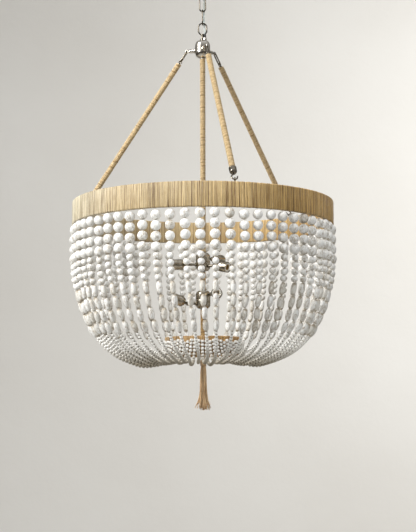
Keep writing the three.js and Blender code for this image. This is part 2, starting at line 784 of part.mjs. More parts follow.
function buildTassel() {
  const eyeMiddle = finialTop - finialHeight - tasselEyeRadius;
  const nut = turned([
    [0, finialTop - finialHeight],
    [finialRadius / 2, finialTop - finialHeight],
    [finialRadius, finialTop - finialHeight / 2],
    [finialRadius, finialTop],
    [0, finialTop],
  ]);
  add("stem_finial", join(nut, eye(tasselEyeRadius, tasselEyeWire).translate(0, 0, eyeMiddle)), nickel);
  const loopMiddle = eyeMiddle - 2 * tasselEyeRadius + tasselEyeWire + tasselLoopWire + clearance;
  const loop = eye(tasselEyeRadius, tasselLoopWire).rotateZ(Math.PI / 2).translate(0, 0, loopMiddle);
  const headTop = loopMiddle - tasselEyeRadius;
  const headBottom = headTop - tasselHeadHeight;
  const head = turned([
    [0, headBottom],
    [tasselSkirtTop, headBottom],
    [tasselHeadRadius, headBottom + tasselHeadHeight / 3],
    [tasselHeadRadius * tasselShoulderShare, headTop - tasselHeadHeight / 4],
    [tasselHeadRadius / 3, headTop],
    [0, headTop],
  ], pinSides);
  add("tassel_head", join(loop, head), jute);
  const skirtTop = headBottom - clearance;
  const skirt = turned([
    [0, skirtTop - tasselSkirtLength],
    [tasselSkirtEnd, skirtTop - tasselSkirtLength],
    [tasselSkirtWaist, skirtTop - tasselSkirtLength * (1 - tasselFlareShare)],
    [tasselSkirtTop, skirtTop],
    [0, skirtTop],
  ], pinSides);
  add("tassel_skirt", skirt, jute);
}

buildCeilingPlate();
buildCanopy();
buildCanopyLoop();
buildChain();
buildCord();
buildHub();
for (let i = 0; i < rodCount; i++) {
  buildRod(i);
  buildHoopEye(i);
}
buildHoop();
buildStrands();
buildRing();
buildStem();
lampHolders.forEach(buildLampHolder);
buildTassel();

export default part;
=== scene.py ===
"""A chandelier hung with strings of whitewashed wooden beads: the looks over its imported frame.

Lengths are metres, z points up and the origin is the ceiling plate's top face. Azimuths are degrees from the
front (-y), growing towards +x. A height named level is measured from the middle of the big hoop.
"""
import json
import math
import random

import bpy
import numpy as np
from mathutils import Matrix, Vector


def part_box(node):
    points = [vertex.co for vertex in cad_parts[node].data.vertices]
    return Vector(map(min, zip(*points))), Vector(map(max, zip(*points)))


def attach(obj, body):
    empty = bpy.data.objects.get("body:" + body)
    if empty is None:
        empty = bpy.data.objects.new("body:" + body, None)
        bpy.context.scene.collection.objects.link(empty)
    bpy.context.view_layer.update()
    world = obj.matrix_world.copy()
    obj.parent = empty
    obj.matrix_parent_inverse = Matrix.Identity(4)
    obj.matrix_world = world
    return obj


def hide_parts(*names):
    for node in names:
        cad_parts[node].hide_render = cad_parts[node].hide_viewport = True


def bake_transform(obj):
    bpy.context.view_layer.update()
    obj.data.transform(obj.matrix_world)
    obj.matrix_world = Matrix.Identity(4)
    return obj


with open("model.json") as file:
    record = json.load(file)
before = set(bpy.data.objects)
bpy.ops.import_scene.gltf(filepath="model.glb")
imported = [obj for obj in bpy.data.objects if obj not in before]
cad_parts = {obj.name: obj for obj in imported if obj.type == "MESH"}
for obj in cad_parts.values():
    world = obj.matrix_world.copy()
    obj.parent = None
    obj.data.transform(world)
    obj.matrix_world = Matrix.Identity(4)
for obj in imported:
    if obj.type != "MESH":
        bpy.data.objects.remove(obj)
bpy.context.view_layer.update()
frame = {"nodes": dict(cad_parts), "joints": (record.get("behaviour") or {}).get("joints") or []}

chance = random.Random(11)
PIVOTS = {joint["name"]: Vector(joint["pos_m"]) for joint in frame["joints"]}

# Places and sizes shared with the frame
HOOP_DROP = 0.6
CLEARANCE = 0.0003
HOOP_RADIUS = 0.305
HOOP_THICKNESS = 0.010
HOOP_HEIGHT = 0.0534
HOOP_MIDDLE_RADIUS = HOOP_RADIUS - HOOP_THICKNESS / 2
RING_RADIUS = 0.089
RING_THICKNESS = 0.010
RING_HEIGHT = 0.042
RING_TOP_LEVEL = -0.28724
BOWL_DEPTH = 0.323
LOOP_WIDTH = 0.023
LOOP_HEIGHT = 0.0315
LOOP_WIRE = 0.00165
HUB_RADIUS = 0.0178
HUB_HEIGHT = 0.043
HUB_ARM_RADIUS = 0.0046
HUB_ARM_REACH = 0.039
HUB_ARM_LEVEL = 0.399
ROD_COUNT = 3
FIRST_ROD_AZIMUTH = 13
EYE_RADIUS = 0.0035
EYE_WIRE = 0.0013
HOOP_EYE_STAND = 0.0053
ROD_WRAP_RADIUS = 0.0069
STEM_RADIUS = 0.0067
CLUSTER_RADIUS = 0.01675
CLUSTER_HEIGHT = 0.042
SOCKET_REACH = 0.036

# Strings and beads; a bead's tone says how clean it is and drops towards the bead's ends as painted shade
# where beads meet, and the small beads' tone calls for their own finish
STRAND_COUNT = 60
STRANDS_PER_GROUP = 10
FIRST_STRAND_AZIMUTH = -1.3
STRAND_STEP = 360 / STRAND_COUNT
FAR_STRING_RISE = 0.028
NEAR_STRING_DRIFT = 0.012
RING_RUN_LEAN = 0.013
STRING_SLACK = 0.0022
STRING_WAVE = 0.0016
STRING_BOW = 0.0024
STRING_WIRE_STAND = 0.0023
STRING_WIRE_RADIUS = 0.0010
THREAD_RADIUS = 0.0005
LARGE_BEAD = {"count": 4, "radius": 0.0112, "pitch": 0.0224, "tone": 0.72, "hole": 0.0013}
MEDIUM_BEAD = {"count": 4, "radius": 0.0076, "pitch": 0.0150, "tone": 0.68, "hole": 0.0012}
SPINDLE_BEAD = {"count": 4, "radius": 0.0066, "pitch": 0.0286, "tone": 0.44, "hole": 0.0011}
SMALL_BEAD_RADIUS = 0.004
FIRST_BEAD_GAP = 0.0026
FIRST_BEAD_PLAY = 0.0035
SMALL_BEAD_TONE = 3

# The string's path as shares: out from the ring's face to the hoop, down the bowl's depth, and of the
# rise of the string that hangs farthest back
BOWL_SHARES = [
    (1, 0, 0), (1, 0.2, 0), (0.998, 0.38, 0), (0.965, 0.47, 0), (0.932, 0.56, 0.05), (0.862, 0.67, 0.2),
    (0.763, 0.785, 0.5), (0.59, 0.9, 0.85), (0.37, 0.972, 1), (0.18, 1, 1), (0.05, 0.978, 0.85),
    (0.003, 0.92, 0.4), (0, 0.832, 0),
]

# Windings: a raffia strip's width, how far a band's section is drawn in, its corner, the strips' lap and lift
RAFFIA_STRIP = 0.0027
BAND_INSET = 0.0004
BAND_CORNER = 0.0022
STRIP_OVERLAP = 1.12
STRIP_LIFT = 0.0006
TWINE_RADIUS = 0.0015
ROD_WRAP_TONES = (0.5, 0.38, 0.62)

# Lamp holders: cluster level, azimuth, rise on the cluster, roll of the knuckle and the angle set
UPPER_CLUSTER_LEVEL = -0.110
LOWER_CLUSTER_LEVEL = -0.1985
LAMP_HOLDERS = [
    (UPPER_CLUSTER_LEVEL, -92, -0.006, 0, 0),
    (UPPER_CLUSTER_LEVEL, 55, -0.010, 0, -12),
    (UPPER_CLUSTER_LEVEL, 142, 0.010, 0, 0),
    (LOWER_CLUSTER_LEVEL, -88, -0.009, 0, 20),
    (LOWER_CLUSTER_LEVEL, 72, 0.012, 90, 78),
    (LOWER_CLUSTER_LEVEL, 178, 0.0, 0, 12),
]

# A side for a wire's first ring to start from, along which no wire here runs
ANY_SIDE = (0.31, 0.91, 0.27)


def height_of(level):
    return level - HOOP_DROP


def polar(azimuth, radius, height):
    angle = math.radians(azimuth)
    return Vector((radius * math.sin(angle), -radius * math.cos(angle), height))


def outwards(azimuth, height=0.0):
    """Turns local +x to point outwards at an azimuth."""
    turn = Matrix.Rotation(math.radians(azimuth) - math.pi / 2, 4, "Z")
    return Matrix.Translation((0, 0, height)) @ turn


def shifted(x=0, y=0, z=0):
    return Matrix.Translation((x, y, z))


def rotated(degrees, axis):
    return Matrix.Rotation(math.radians(degrees), 4, axis)


# Mesh tools


class Form:
    """Corners and faces gathered for one mesh, each corner with its place in the grain and its tone."""

    def __init__(self):
        self.corners, self.grain, self.tone, self.faces = [], [], [], []
        self.size = 0

    def add(self, corners, faces, place=None, grain=None, tone=0.5):
        corners = np.asarray(corners, float)
        grain = corners.copy() if grain is None else np.asarray(grain, float)
        if place is not None:
            turned = np.array(place)
            corners = corners @ turned[:3, :3].T + turned[:3, 3]
        self.corners.append(corners)
        self.grain.append(grain)
        self.tone.append(np.full(len(corners), tone))
        self.faces.extend(tuple(corner + self.size for corner in face) for face in faces)
        self.size += len(corners)
        return self

    def wire(self, path, radius, sides, place=None, tone=0.5, **course):
        """A wire along a path; tube takes what course says."""
        corners, faces, grain = tube(path, radius, sides, **course)
        return self.add(corners, faces, place, grain, tone)

    def loop(self, path, radius, place=None, sides=12):
        """A closed wire whose path lies in the x-z plane."""
        return self.wire(path, radius, sides, place, endless=True, first=(0, 1, 0))

    def eye(self, place):
        """An eye of a rod, a hub arm or the hoop."""
        return self.loop(circle_path(EYE_RADIUS), EYE_WIRE, place)

    def lathe(self, shape, levels, place=None, steps=4):
        """A turned shape, with a level for each of its runs of points."""
        return self.add(*turned(outline_of(shape, levels, steps), shape[0]), place)

    def piece(self, name, finish, *nodes, body="fixture", slot="nickel"):
        """Makes the piece, which rides on its body and replaces the nodes."""
        mesh = bpy.data.meshes.new(name)
        mesh.from_pydata(np.vstack(self.corners).tolist(), [], self.faces)
        mesh.polygons.foreach_set("use_smooth", [True] * len(mesh.polygons))
        grain = mesh.attributes.new("grain", "FLOAT_VECTOR", "POINT")
        grain.data.foreach_set("vector", np.vstack(self.grain).astype(np.float32).ravel())
        tone = mesh.attributes.new("tone", "FLOAT", "POINT")
        tone.data.foreach_set("value", np.concatenate(self.tone).astype(np.float32))
        mesh.materials.append(finish)
        mesh.validate()
        made = bpy.data.objects.new(name, mesh)
        bpy.context.collection.objects.link(made)
        if body:
            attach(made, body)
        if nodes:
            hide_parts(*nodes)
        return made


def skin(rings, endless=False):
    """Faces that join rings of equal size, with caps at the ends unless it is endless."""
    count, sides = len(rings), len(rings[0])
    faces = []
    for i in range(count if endless else count - 1):
        here, there = i * sides, (i + 1) % count * sides
        for j in range(sides):
            k = (j + 1) % sides
            faces.append((here + j, here + k, there + k, there + j))
    if not endless:
        end = (count - 1) * sides
        faces.append(tuple(reversed(range(sides))))
        faces.append(tuple(range(end, end + sides)))
    return np.concatenate(rings), faces


def turned(outline, sides=48):
    """A body of revolution about z; an outline point on the axis becomes one corner."""
    corners, rows, on_axis = [], [], 1e-7
    for radius, height in outline:
        if radius < on_axis:
            rows.append([len(corners)])
            corners.append((0, 0, height))
            continue
        rows.append(list(range(len(corners), len(corners) + sides)))
        for j in range(sides):
            angle = 2 * math.pi * j / sides
            corners.append((radius * math.cos(angle), radius * math.sin(angle), height))
    faces = []
    closes = len(rows[0]) > 1
    for a, b in zip(rows, rows[1:] + rows[:1] if closes else rows[1:]):
        for j in range(sides):
            k = (j + 1) % sides
            around = a[j % len(a)], a[k % len(a)], b[k % len(b)], b[j % len(b)]
            face = tuple(dict.fromkeys(around))
            if len(face) > 2:
                faces.append(face)
    return corners, faces


def softened(outline, radius, steps=4):
    """The outline with its inner corners rounded."""
    points = [Vector(point) for point in outline]
    smooth = [points[0]]
    most = 0.45
    for before, corner, after in zip(points, points[1:], points[2:]):
        back, ahead = before - corner, after - corner
        room = min(radius, back.length * most, ahead.length * most)
        start = corner + back.normalized() * room
        end = corner + ahead.normalized() * room
        for i in range(steps + 1):
            share = i / steps
            first, second = start.lerp(corner, share), corner.lerp(end, share)
            smooth.append(first.lerp(second, share))
    return [tuple(point) for point in smooth + points[-1:]]


def outline_of(shape, levels, steps=4):
    """A turned shape's outline; a shape is its sides, its rounding and a run of (radius, rise) per level."""
    _, rounding, *runs = shape
    outline = [(radius, level + rise) for level, run in zip(levels, runs) for radius, rise in run]
    return softened(outline, rounding, steps)


def frames_along(path, endless=False, first=ANY_SIDE):
    """Two directions square to the path at each point, carried along without a twist."""
    points = np.asarray(path, float)
    if endless:
        tangents = np.roll(points, -1, 0) - np.roll(points, 1, 0)
    else:
        tangents = np.gradient(points, axis=0)
    tangents /= np.linalg.norm(tangents, axis=1)[:, None]
    side = np.array(first, float)
    sides = []
    for tangent in tangents:
        side = side - tangent * side.dot(tangent)
        side /= np.linalg.norm(side)
        sides.append(side.copy())
    sides = np.array(sides)
    return points, sides, np.cross(tangents, sides)


def tube(path, radius, sides=12, endless=False, first=ANY_SIDE):
    """A round wire along a path; radius may be a list. Returns corners, faces and grain."""
    points, across, up = frames_along(path, endless, first)
    radii = np.broadcast_to(np.asarray(radius, float), len(points))
    angles = np.arange(sides) * 2 * math.pi / sides
    wave_a, wave_b = np.cos(angles), np.sin(angles)
    rings = [
        points[i] + radii[i] * (wave_a[:, None] * across[i] + wave_b[:, None] * up[i])
        for i in range(len(points))
    ]
    corners, faces = skin(rings, endless)
    grain = np.stack([
        np.repeat(run_along(points), sides),
        np.tile(angles, len(points)) * float(np.mean(radii)),
        np.zeros(len(points) * sides),
    ], axis=1)
    return corners, faces, grain


def run_along(points):
    """The length along a path up to each of its points."""
    return np.concatenate([[0], np.cumsum(np.linalg.norm(np.diff(points, axis=0), axis=1))])


def smooth_curve(knots, count):
    """Points evenly spread along a chordal Catmull-Rom curve through the knots."""
    knots = [np.asarray(knot, float) for knot in knots]
    ends = [2 * knots[0] - knots[1]] + knots + [2 * knots[-1] - knots[-2]]
    fine, steps = [], 24
    for i in range(1, len(ends) - 2):
        a, b, c, d = ends[i - 1:i + 3]
        gaps = [np.linalg.norm(b - a), np.linalg.norm(c - b), np.linalg.norm(d - c)]
        start = ((b - a) / gaps[0] - (c - a) / (gaps[0] + gaps[1]) + (c - b) / gaps[1]) * gaps[1]
        finish = ((c - b) / gaps[1] - (d - b) / (gaps[1] + gaps[2]) + (d - c) / gaps[2]) * gaps[1]
        for step in range(steps):
            t = step / steps
            fine.append(
                b * (2 * t ** 3 - 3 * t ** 2 + 1) + start * (t ** 3 - 2 * t ** 2 + t)
                + c * (3 * t ** 2 - 2 * t ** 3) + finish * (t ** 3 - t ** 2)
            )
    fine.append(knots[-1])
    fine = np.array(fine)
    run = run_along(fine)
    places = np.linspace(0, run[-1], count)
    return np.stack([np.interp(places, run, fine[:, k]) for k in range(3)], axis=1), run[-1]


def link_path(width, height, wire, count=56):
    """The middle line of a long link standing in the x-z plane about the origin."""
    bend = width / 2 - wire
    straight = height / 2 - width / 2
    path = []
    for i in range(count):
        angle = 2 * math.pi * (i + 0.5) / count
        lift = math.copysign(straight, math.sin(angle))
        path.append((bend * math.cos(angle), 0, bend * math.sin(angle) + lift))
    return path


def slab(outline, low, high, bevel):
    """A flat plate about z whose edges are bevelled."""
    ring = np.array(outline, float)
    middle = ring.mean(axis=0)
    drawn = middle + (ring - middle) * (1 - bevel / np.linalg.norm(ring - middle, axis=1).max())
    rings = []
    for shape, height in [(drawn, low), (ring, low + bevel), (ring, high - bevel), (drawn, high)]:
        rings.append(np.column_stack([shape, np.full(len(shape), height)]))
    return skin(rings)


def winding(form, radius, low, high, twine, place=None, wobble=0.00012, tone=0.5):
    """Twine wound round z from one height to another, laid turn against turn."""
    steps = 12
    pitch = twine * 1.96
    turns = (high - low - 2 * twine) / pitch
    count = int(turns * steps)
    drift = chance.random() * 6
    path = []
    for i in range(count + 1):
        turn = i / steps
        angle = 2 * math.pi * turn
        reach = radius - twine + wobble * math.sin(turn * 2.3 + drift) * math.sin(turn * 0.71)
        rise = low + twine + pitch * turn + wobble * math.sin(turn * 1.7 + drift)
        path.append((reach * math.cos(angle), reach * math.sin(angle), rise))
    form.wire(path, twine, 8, place, tone, first=(1, 0, 0))


# Finishes


class Nodes:
    """Node tools that the materials and the world share."""

    def __init__(self, tree):
        self.tree = tree

    def node(self, kind, inputs=None, **settings):
        made = self.tree.nodes.new("ShaderNode" + kind)
        for setting, value in settings.items():
            setattr(made, setting, value)
        for socket, value in (inputs or {}).items():
            if isinstance(value, bpy.types.NodeSocket):
                self.tree.links.new(value, made.inputs[socket])
            else:
                made.inputs[socket].default_value = value
        return made

    def out(self, output, kind, inputs=None, **settings):
        return self.node(kind, inputs, **settings).outputs[output]

    def ramp(self, factor, stops):
        """Colour stops; a single number is a grey."""
        made = self.node("ValToRGB", {"Fac": factor})
        elements = made.color_ramp.elements
        while len(elements) < len(stops):
            elements.new(0.5)
        for element, (place, colour) in zip(elements, stops):
            element.position = place
            element.color = (*colour, 1) if isinstance(colour, tuple) else (colour, colour, colour, 1)
        return made.outputs["Color"]

    def part(self, vector, axis):
        return self.out(axis, "SeparateXYZ", {0: vector})

    def share(self, value, low, high):
        """Where a value lies between two others, from 0 to 1."""
        return self.out(0, "MapRange", {"Value": value, "From Min": low, "From Max": high})


class Paint(Nodes):
    """A node material in the making."""

    def __init__(self, name, **sockets):
        self.material = bpy.data.materials.new(name)
        self.material.use_nodes = True
        super().__init__(self.material.node_tree)
        self.shader = self.tree.nodes["Principled BSDF"]
        for socket, value in sockets.items():
            self.shader.inputs[socket.replace("_", " ")].default_value = value

    def attribute(self, name, output):
        return self.out(output, "Attribute", attribute_name=name, attribute_type="GEOMETRY")

    def place(self):
        return self.out("Object", "TexCoord")

    def slanted(self, vector, degrees):
        return self.out(0, "Mapping", {"Vector": vector, "Rotation": (0, 0, math.radians(degrees))})

    def noise(self, vector, scale, detail=3.0, roughness=0.55):
        """Soft noise; a scale of three numbers stretches it."""
        if isinstance(scale, tuple):
            vector = self.out(0, "Mapping", {"Vector": vector, "Scale": scale})
            scale = 1.0
        inputs = {"Vector": vector, "Scale": scale, "Detail": detail, "Roughness": roughness}
        return self.out("Fac", "TexNoise", inputs)

    def wave(self, vector, scale, distortion):
        return self.out("Fac", "TexWave", {"Vector": vector, "Scale": scale, "Distortion": distortion})

    def maths(self, operation, *values, **settings):
        return self.out(0, "Math", dict(enumerate(values)), operation=operation, **settings)

    def mix(self, factor, first, second, blend="MIX"):
        ends = [(*end, 1) if isinstance(end, tuple) else end for end in (first, second)]
        return self.out(2, "Mix", {0: factor, 6: ends[0], 7: ends[1]}, data_type="RGBA", blend_type=blend)

    def times(self, first, second):
        return self.mix(1.0, first, second, "MULTIPLY")

    def spread(self, factor, low, high):
        return self.out(0, "MapRange", {"Value": factor, "To Min": low, "To Max": high})

    def bump(self, height, distance, strength, normal=None):
        inputs = {"Height": height, "Distance": distance, "Strength": strength}
        if normal is not None:
            inputs["Normal"] = normal
        return self.out(0, "Bump", inputs)

    def finish(self, colour, roughness, normal):
        """Links the shader's sockets; a roughness of None leaves the constant one."""
        for socket, value in (("Base Color", colour), ("Roughness", roughness), ("Normal", normal)):
            if value is not None:
                self.tree.links.new(value, self.shader.inputs[socket])
        return self.material


def metal_finish(name, colour, shade, edge, roughness=0.10, smudge=0.10, dimple=0.0002):
    """Plated or plain metal, smudged and slightly uneven; edge tints its glancing gloss."""
    paint = Paint(name, Metallic=1.0, Specular_Tint=(*edge, 1))
    place = paint.place()
    cloud = paint.noise(place, 90.0, 4.0)
    fine = paint.noise(place, 420.0, 5.0, 0.7)
    return paint.finish(
        paint.ramp(cloud, [(0.3, shade), (0.7, colour)]),
        paint.spread(fine, roughness, roughness + smudge),
        paint.bump(cloud, dimple, 0.6),
    )


def bead_finish():
    """Whitewashed turned wood, rubbed thin along the grain, with brown veins; small beads are glossier.
    Painted shade darkens each bead towards its ends where beads meet, and the small beads towards the bowl's
    foot.
    """
    paint = Paint("whitewashed_wood")
    grain, tone = paint.attribute("grain", "Vector"), paint.attribute("tone", "Fac")
    small = paint.maths("GREATER_THAN", tone, SMALL_BEAD_TONE / 2)

    streaks = paint.noise(grain, (480, 480, 130), 6.0, 0.68)
    worn = paint.ramp(streaks, [
        (0.34, (0.52, 0.47, 0.40)), (0.42, (0.76, 0.745, 0.71)), (0.50, (0.87, 0.87, 0.855)),
        (0.7, (0.91, 0.915, 0.91)),
    ])
    # The tone's random part sets how clean a bead is; its drop towards the bead's ends is painted shade where
    # beads meet.
    cast = paint.ramp(tone, [(0.0, (0.60, 0.54, 0.45)), (0.25, (0.86, 0.84, 0.80)), (0.55, 1)])
    toned = paint.times(worn, cast)

    wander = paint.noise(grain, (120, 120, 80), 3.0, 0.55)
    veins = paint.ramp(wander, [(0.43, 1), (0.5, (0.48, 0.42, 0.34)), (0.57, 1)])
    patches = paint.noise(grain, (60, 60, 60), 1.0, 0.4)
    shown = paint.ramp(patches, [(0.40, 0), (0.60, 0.85)])
    kept = paint.maths("SUBTRACT", shown, small, use_clamp=True)
    veined = paint.mix(kept, toned, paint.times(toned, veins))

    flecks = paint.noise(grain, (190, 190, 110), 2.0, 0.4)
    brown = paint.ramp(flecks, [(0.67, 0), (0.73, 0.75)])
    flecked = paint.mix(brown, veined, (0.30, 0.21, 0.13))

    # Small beads: painted shade, darker towards each bead's ends where the beads meet.
    crease_shade = paint.maths("SUBTRACT", tone, SMALL_BEAD_TONE - 1)
    pearl_with_crease_shade = paint.ramp(crease_shade, [
        (0.4, (0.24, 0.20, 0.15)), (0.68, (0.72, 0.70, 0.655)), (1.0, (0.90, 0.89, 0.86)),
    ])
    # Painted shade: the small beads grow darker and browner towards the bowl's foot.
    foot, top = height_of(-BOWL_DEPTH - HOOP_HEIGHT / 2), height_of(RING_TOP_LEVEL)
    rise = paint.share(paint.part(paint.place(), "Z"), foot, top)
    painted_bowl_foot_shade = paint.ramp(rise, [(0.0, (0.43, 0.39, 0.315)), (0.6, 1)])
    return paint.finish(
        paint.mix(small, flecked, paint.times(pearl_with_crease_shade, painted_bowl_foot_shade)),
        paint.mix(small, paint.spread(streaks, 0.55, 0.36), (0.26, 0.26, 0.26)),
        paint.bump(wander, 0.0006, 0.3, paint.bump(streaks, 0.0005, 0.4)),
    )


def straw_finish(name, stops):
    """Flat strips of plant fibre: long fibres, tone from strip to strip, painted shade in the gaps at their
    edges, and painted light and shade across the band.
    """
    paint = Paint(name, Specular_IOR_Level=0.7, Sheen_Weight=0.8, Sheen_Roughness=0.3)
    grain, tone = paint.attribute("grain", "Vector"), paint.attribute("tone", "Fac")
    fibres = paint.noise(grain, (45, 2600, 2600), 5.0, 0.7)
    shade = paint.ramp(tone, [
        (0.0, (0.50, 0.44, 0.36)), (0.4, (0.84, 0.81, 0.76)), (0.7, 1), (1.0, (1.22, 1.25, 1.32)),
    ])
    lines = paint.noise(grain, (6, 520, 4000), 3.0, 0.6)
    lined = paint.ramp(lines, [
        (0.37, (0.34, 0.26, 0.16)), (0.47, (0.94, 0.93, 0.91)), (0.62, (1.10, 1.11, 1.12)),
    ])
    toned = paint.times(paint.times(paint.ramp(fibres, stops), shade), lined)

    # Painted shade in the gaps at each strip's edges, deeper on some strips than on others.
    edge = paint.maths("DIVIDE", paint.maths("ABSOLUTE", paint.part(grain, "Y")), RAFFIA_STRIP / 2)
    groove_shade = paint.ramp(edge, [(0.5, 1), (0.8, (0.22, 0.155, 0.09))])
    depth = paint.ramp(paint.part(grain, "Z"), [(0.35, 0.15), (0.8, 1)])
    groove_shaded = paint.mix(depth, toned, paint.times(toned, groove_shade))

    blotch = paint.noise(paint.place(), 34.0)
    dusted = paint.times(groove_shaded, paint.ramp(blotch, [(0.35, (0.88, 0.86, 0.83)), (0.65, 1)]))
    # Painted light and shade across the band: paler and bluer towards -x, browner towards +x.
    across = paint.share(paint.part(paint.place(), "X"), -HOOP_RADIUS, HOOP_RADIUS)
    painted_light_and_shade_across = paint.ramp(across, [
        (0.0, (1.16, 1.44, 2.20)), (0.2, (0.94, 1.0, 1.18)), (0.4, (0.84, 0.86, 0.91)),
        (0.6, (1.0, 0.97, 0.90)), (0.9, (0.92, 0.79, 0.50)),
    ])
    return paint.finish(
        paint.times(dusted, painted_light_and_shade_across), paint.spread(fibres, 0.58, 0.36), paint.bump(fibres, 0.0004, 0.7),
    )


def twine_finish(name, stops):
    """Twisted jute: its plies cross the twine at a slant, with loose fibres, a soft sheen and painted shade
    in the gaps between plies.
    """
    paint = Paint(name, Sheen_Weight=0.2, Sheen_Roughness=0.5)
    grain, tone = paint.attribute("grain", "Vector"), paint.attribute("tone", "Fac")
    slant = paint.slanted(grain, 52)
    plies = paint.wave(slant, 420.0, 1.2)
    fibres = paint.noise(slant, (900, 3200, 1800), 4.0, 0.7)
    # Painted light and shade across each ply: lighter on its crest, darker in the gaps between plies, with
    # the fibres' own tone mixed in.
    lit = paint.maths("MULTIPLY_ADD", plies, fibres, 0.12)
    shade = paint.ramp(tone, [(0.0, (0.42, 0.36, 0.30)), (0.5, 1), (1.0, (1.35, 1.36, 1.38))])
    mottle = paint.ramp(paint.noise(grain, (24, 0, 0), 3.0, 0.7), [
        (0.38, (0.60, 0.50, 0.37)), (0.5, (1.0, 0.99, 0.96)), (0.62, (1.16, 1.17, 1.18)),
    ])
    return paint.finish(
        paint.times(paint.times(paint.ramp(lit, stops), shade), mottle),
        paint.spread(fibres, 0.85, 0.6),
        paint.bump(fibres, 0.0003, 0.6, paint.bump(plies, 0.0006, 0.8)),
    )


def cord_finish():
    """A clear plastic sleeve with a greenish cast over silvery wires."""
    paint = Paint("clear_sleeve", Roughness=0.12, Coat_Weight=0.6, Coat_Roughness=0.1)
    wires = paint.wave(paint.slanted(paint.attribute("grain", "Vector"), 28), 900.0, 0.4)
    colours = [(0.15, (0.30, 0.36, 0.34)), (0.6, (0.55, 0.62, 0.59)), (0.9, (0.78, 0.82, 0.79))]
    return paint.finish(paint.ramp(wires, colours), None, paint.bump(wires, 0.0001, 0.3))


def plain_finish(name, colour, shade, roughness, scale, relief):
    """Moulded or fired stuff with a faint cloud in its colour and gloss."""
    paint = Paint(name)
    cloud = paint.noise(paint.place(), scale, 4.0)
    return paint.finish(
        paint.ramp(cloud, [(0.3, shade), (0.7, colour)]),
        paint.spread(cloud, roughness, roughness + 0.15),
        paint.bump(cloud, relief, 0.4),
    )


NICKEL = metal_finish(
    "polished_nickel", (0.90, 0.87, 0.81), (0.72, 0.67, 0.59), (0.12, 0.10, 0.07), roughness=0.08,
)
AGED_NICKEL = metal_finish("aged_nickel", (0.38, 0.345, 0.29), (0.19, 0.165, 0.125), (0.08, 0.06, 0.04))
CHAIN_NICKEL = metal_finish("chain_nickel", (0.27, 0.245, 0.205), (0.12, 0.105, 0.08), (0.05, 0.04, 0.03))
LAMP_NICKEL = metal_finish(
    "lamp_nickel", (0.72, 0.66, 0.56), (0.30, 0.26, 0.19), (0.08, 0.06, 0.04), dimple=0.0003,
)
STEEL = metal_finish(
    "satin_steel", (0.48, 0.47, 0.45), (0.36, 0.35, 0.33), (0.6, 0.58, 0.55), roughness=0.34, smudge=0.2,
)
BRASS = metal_finish(
    "shell_brass", (0.80, 0.62, 0.33), (0.66, 0.48, 0.24), (0.7, 0.6, 0.4),
    roughness=0.25, smudge=0.15, dimple=0.0001,
)
WOOD = bead_finish()
RAFFIA = straw_finish(
    "pale_raffia", [(0.25, (0.36, 0.235, 0.095)), (0.5, (0.60, 0.44, 0.21)), (0.75, (0.78, 0.63, 0.37))],
)
TAN_RAFFIA = straw_finish(
    "tan_raffia", [(0.25, (0.40, 0.22, 0.07)), (0.5, (0.62, 0.38, 0.14)), (0.75, (0.76, 0.53, 0.24))],
)
JUTE = twine_finish(
    "jute_twine", [(0.1, (0.44, 0.27, 0.10)), (0.45, (0.87, 0.67, 0.37)), (0.8, (0.98, 0.87, 0.62))],
)
# A darker, more saturated copy of the jute: painted warm shade for the stem's wraps inside the bowl.
JUTE_IN_PAINTED_SHADE = twine_finish(
    "jute_twine_in_painted_shade", [(0.1, (0.40, 0.22, 0.07)), (0.45, (0.76, 0.50, 0.20)), (0.8, (0.92, 0.70, 0.38))],
)
TASSEL_JUTE = twine_finish(
    "tassel_jute", [(0.1, (0.66, 0.41, 0.20)), (0.45, (0.93, 0.67, 0.39)), (0.8, (0.99, 0.86, 0.64))],
)
THREAD = plain_finish("bead_thread", (0.74, 0.70, 0.62), (0.55, 0.50, 0.42), 0.8, 700.0, 0.0001)
CORD = cord_finish()
RUBBER = plain_finish("black_bushing", (0.035, 0.034, 0.033), (0.02, 0.02, 0.02), 0.45, 300.0, 0.0002)
PORCELAIN = plain_finish("lamp_insulator", (0.82, 0.80, 0.74), (0.70, 0.67, 0.60), 0.3, 200.0, 0.0001)

# CAD nodes that keep their shape
KEPT_NODES = {
    "ceiling_plate": STEEL, "hoop_band": STEEL, "ring_spider": STEEL, "stem_tube": STEEL,
    "supply_lead": RUBBER,
}


def finish_kept_nodes():
    for name, finish in KEPT_NODES.items():
        materials = frame["nodes"][name].data.materials
        materials.clear()
        materials.append(finish)


# Canopy, chain and cord


# The canopy's lip: out from its radius and up from its rim
CANOPY_LIP = [(0.0003, 0), (0.0006, -0.0012), (0.0006, -0.0028), (0, -0.0040)]
CANOPY_WALL = 0.0015
CANOPY_HOLE = 0.0055

# Turned shapes: sides, rounding, then runs of (radius, rise), each from a level that its builder gives
COLLAR = (48, 0.0008, [(0, 0), (0.0085, 0), (0.0098, 0.0026), (0.0130, 0.0034)], [(0.0130, 0), (0.0050, 0)])
COLLAR_HEIGHT = 0.008
STUD_RADIUS = 0.0050
NUT = (24, 0.0006, [(0, -0.0016), (0.0026, -0.0016), (0.0026, 0.0016), (0, 0.0016)])
NUT_REACH = 0.0040
NUT_DROP = 0.0008


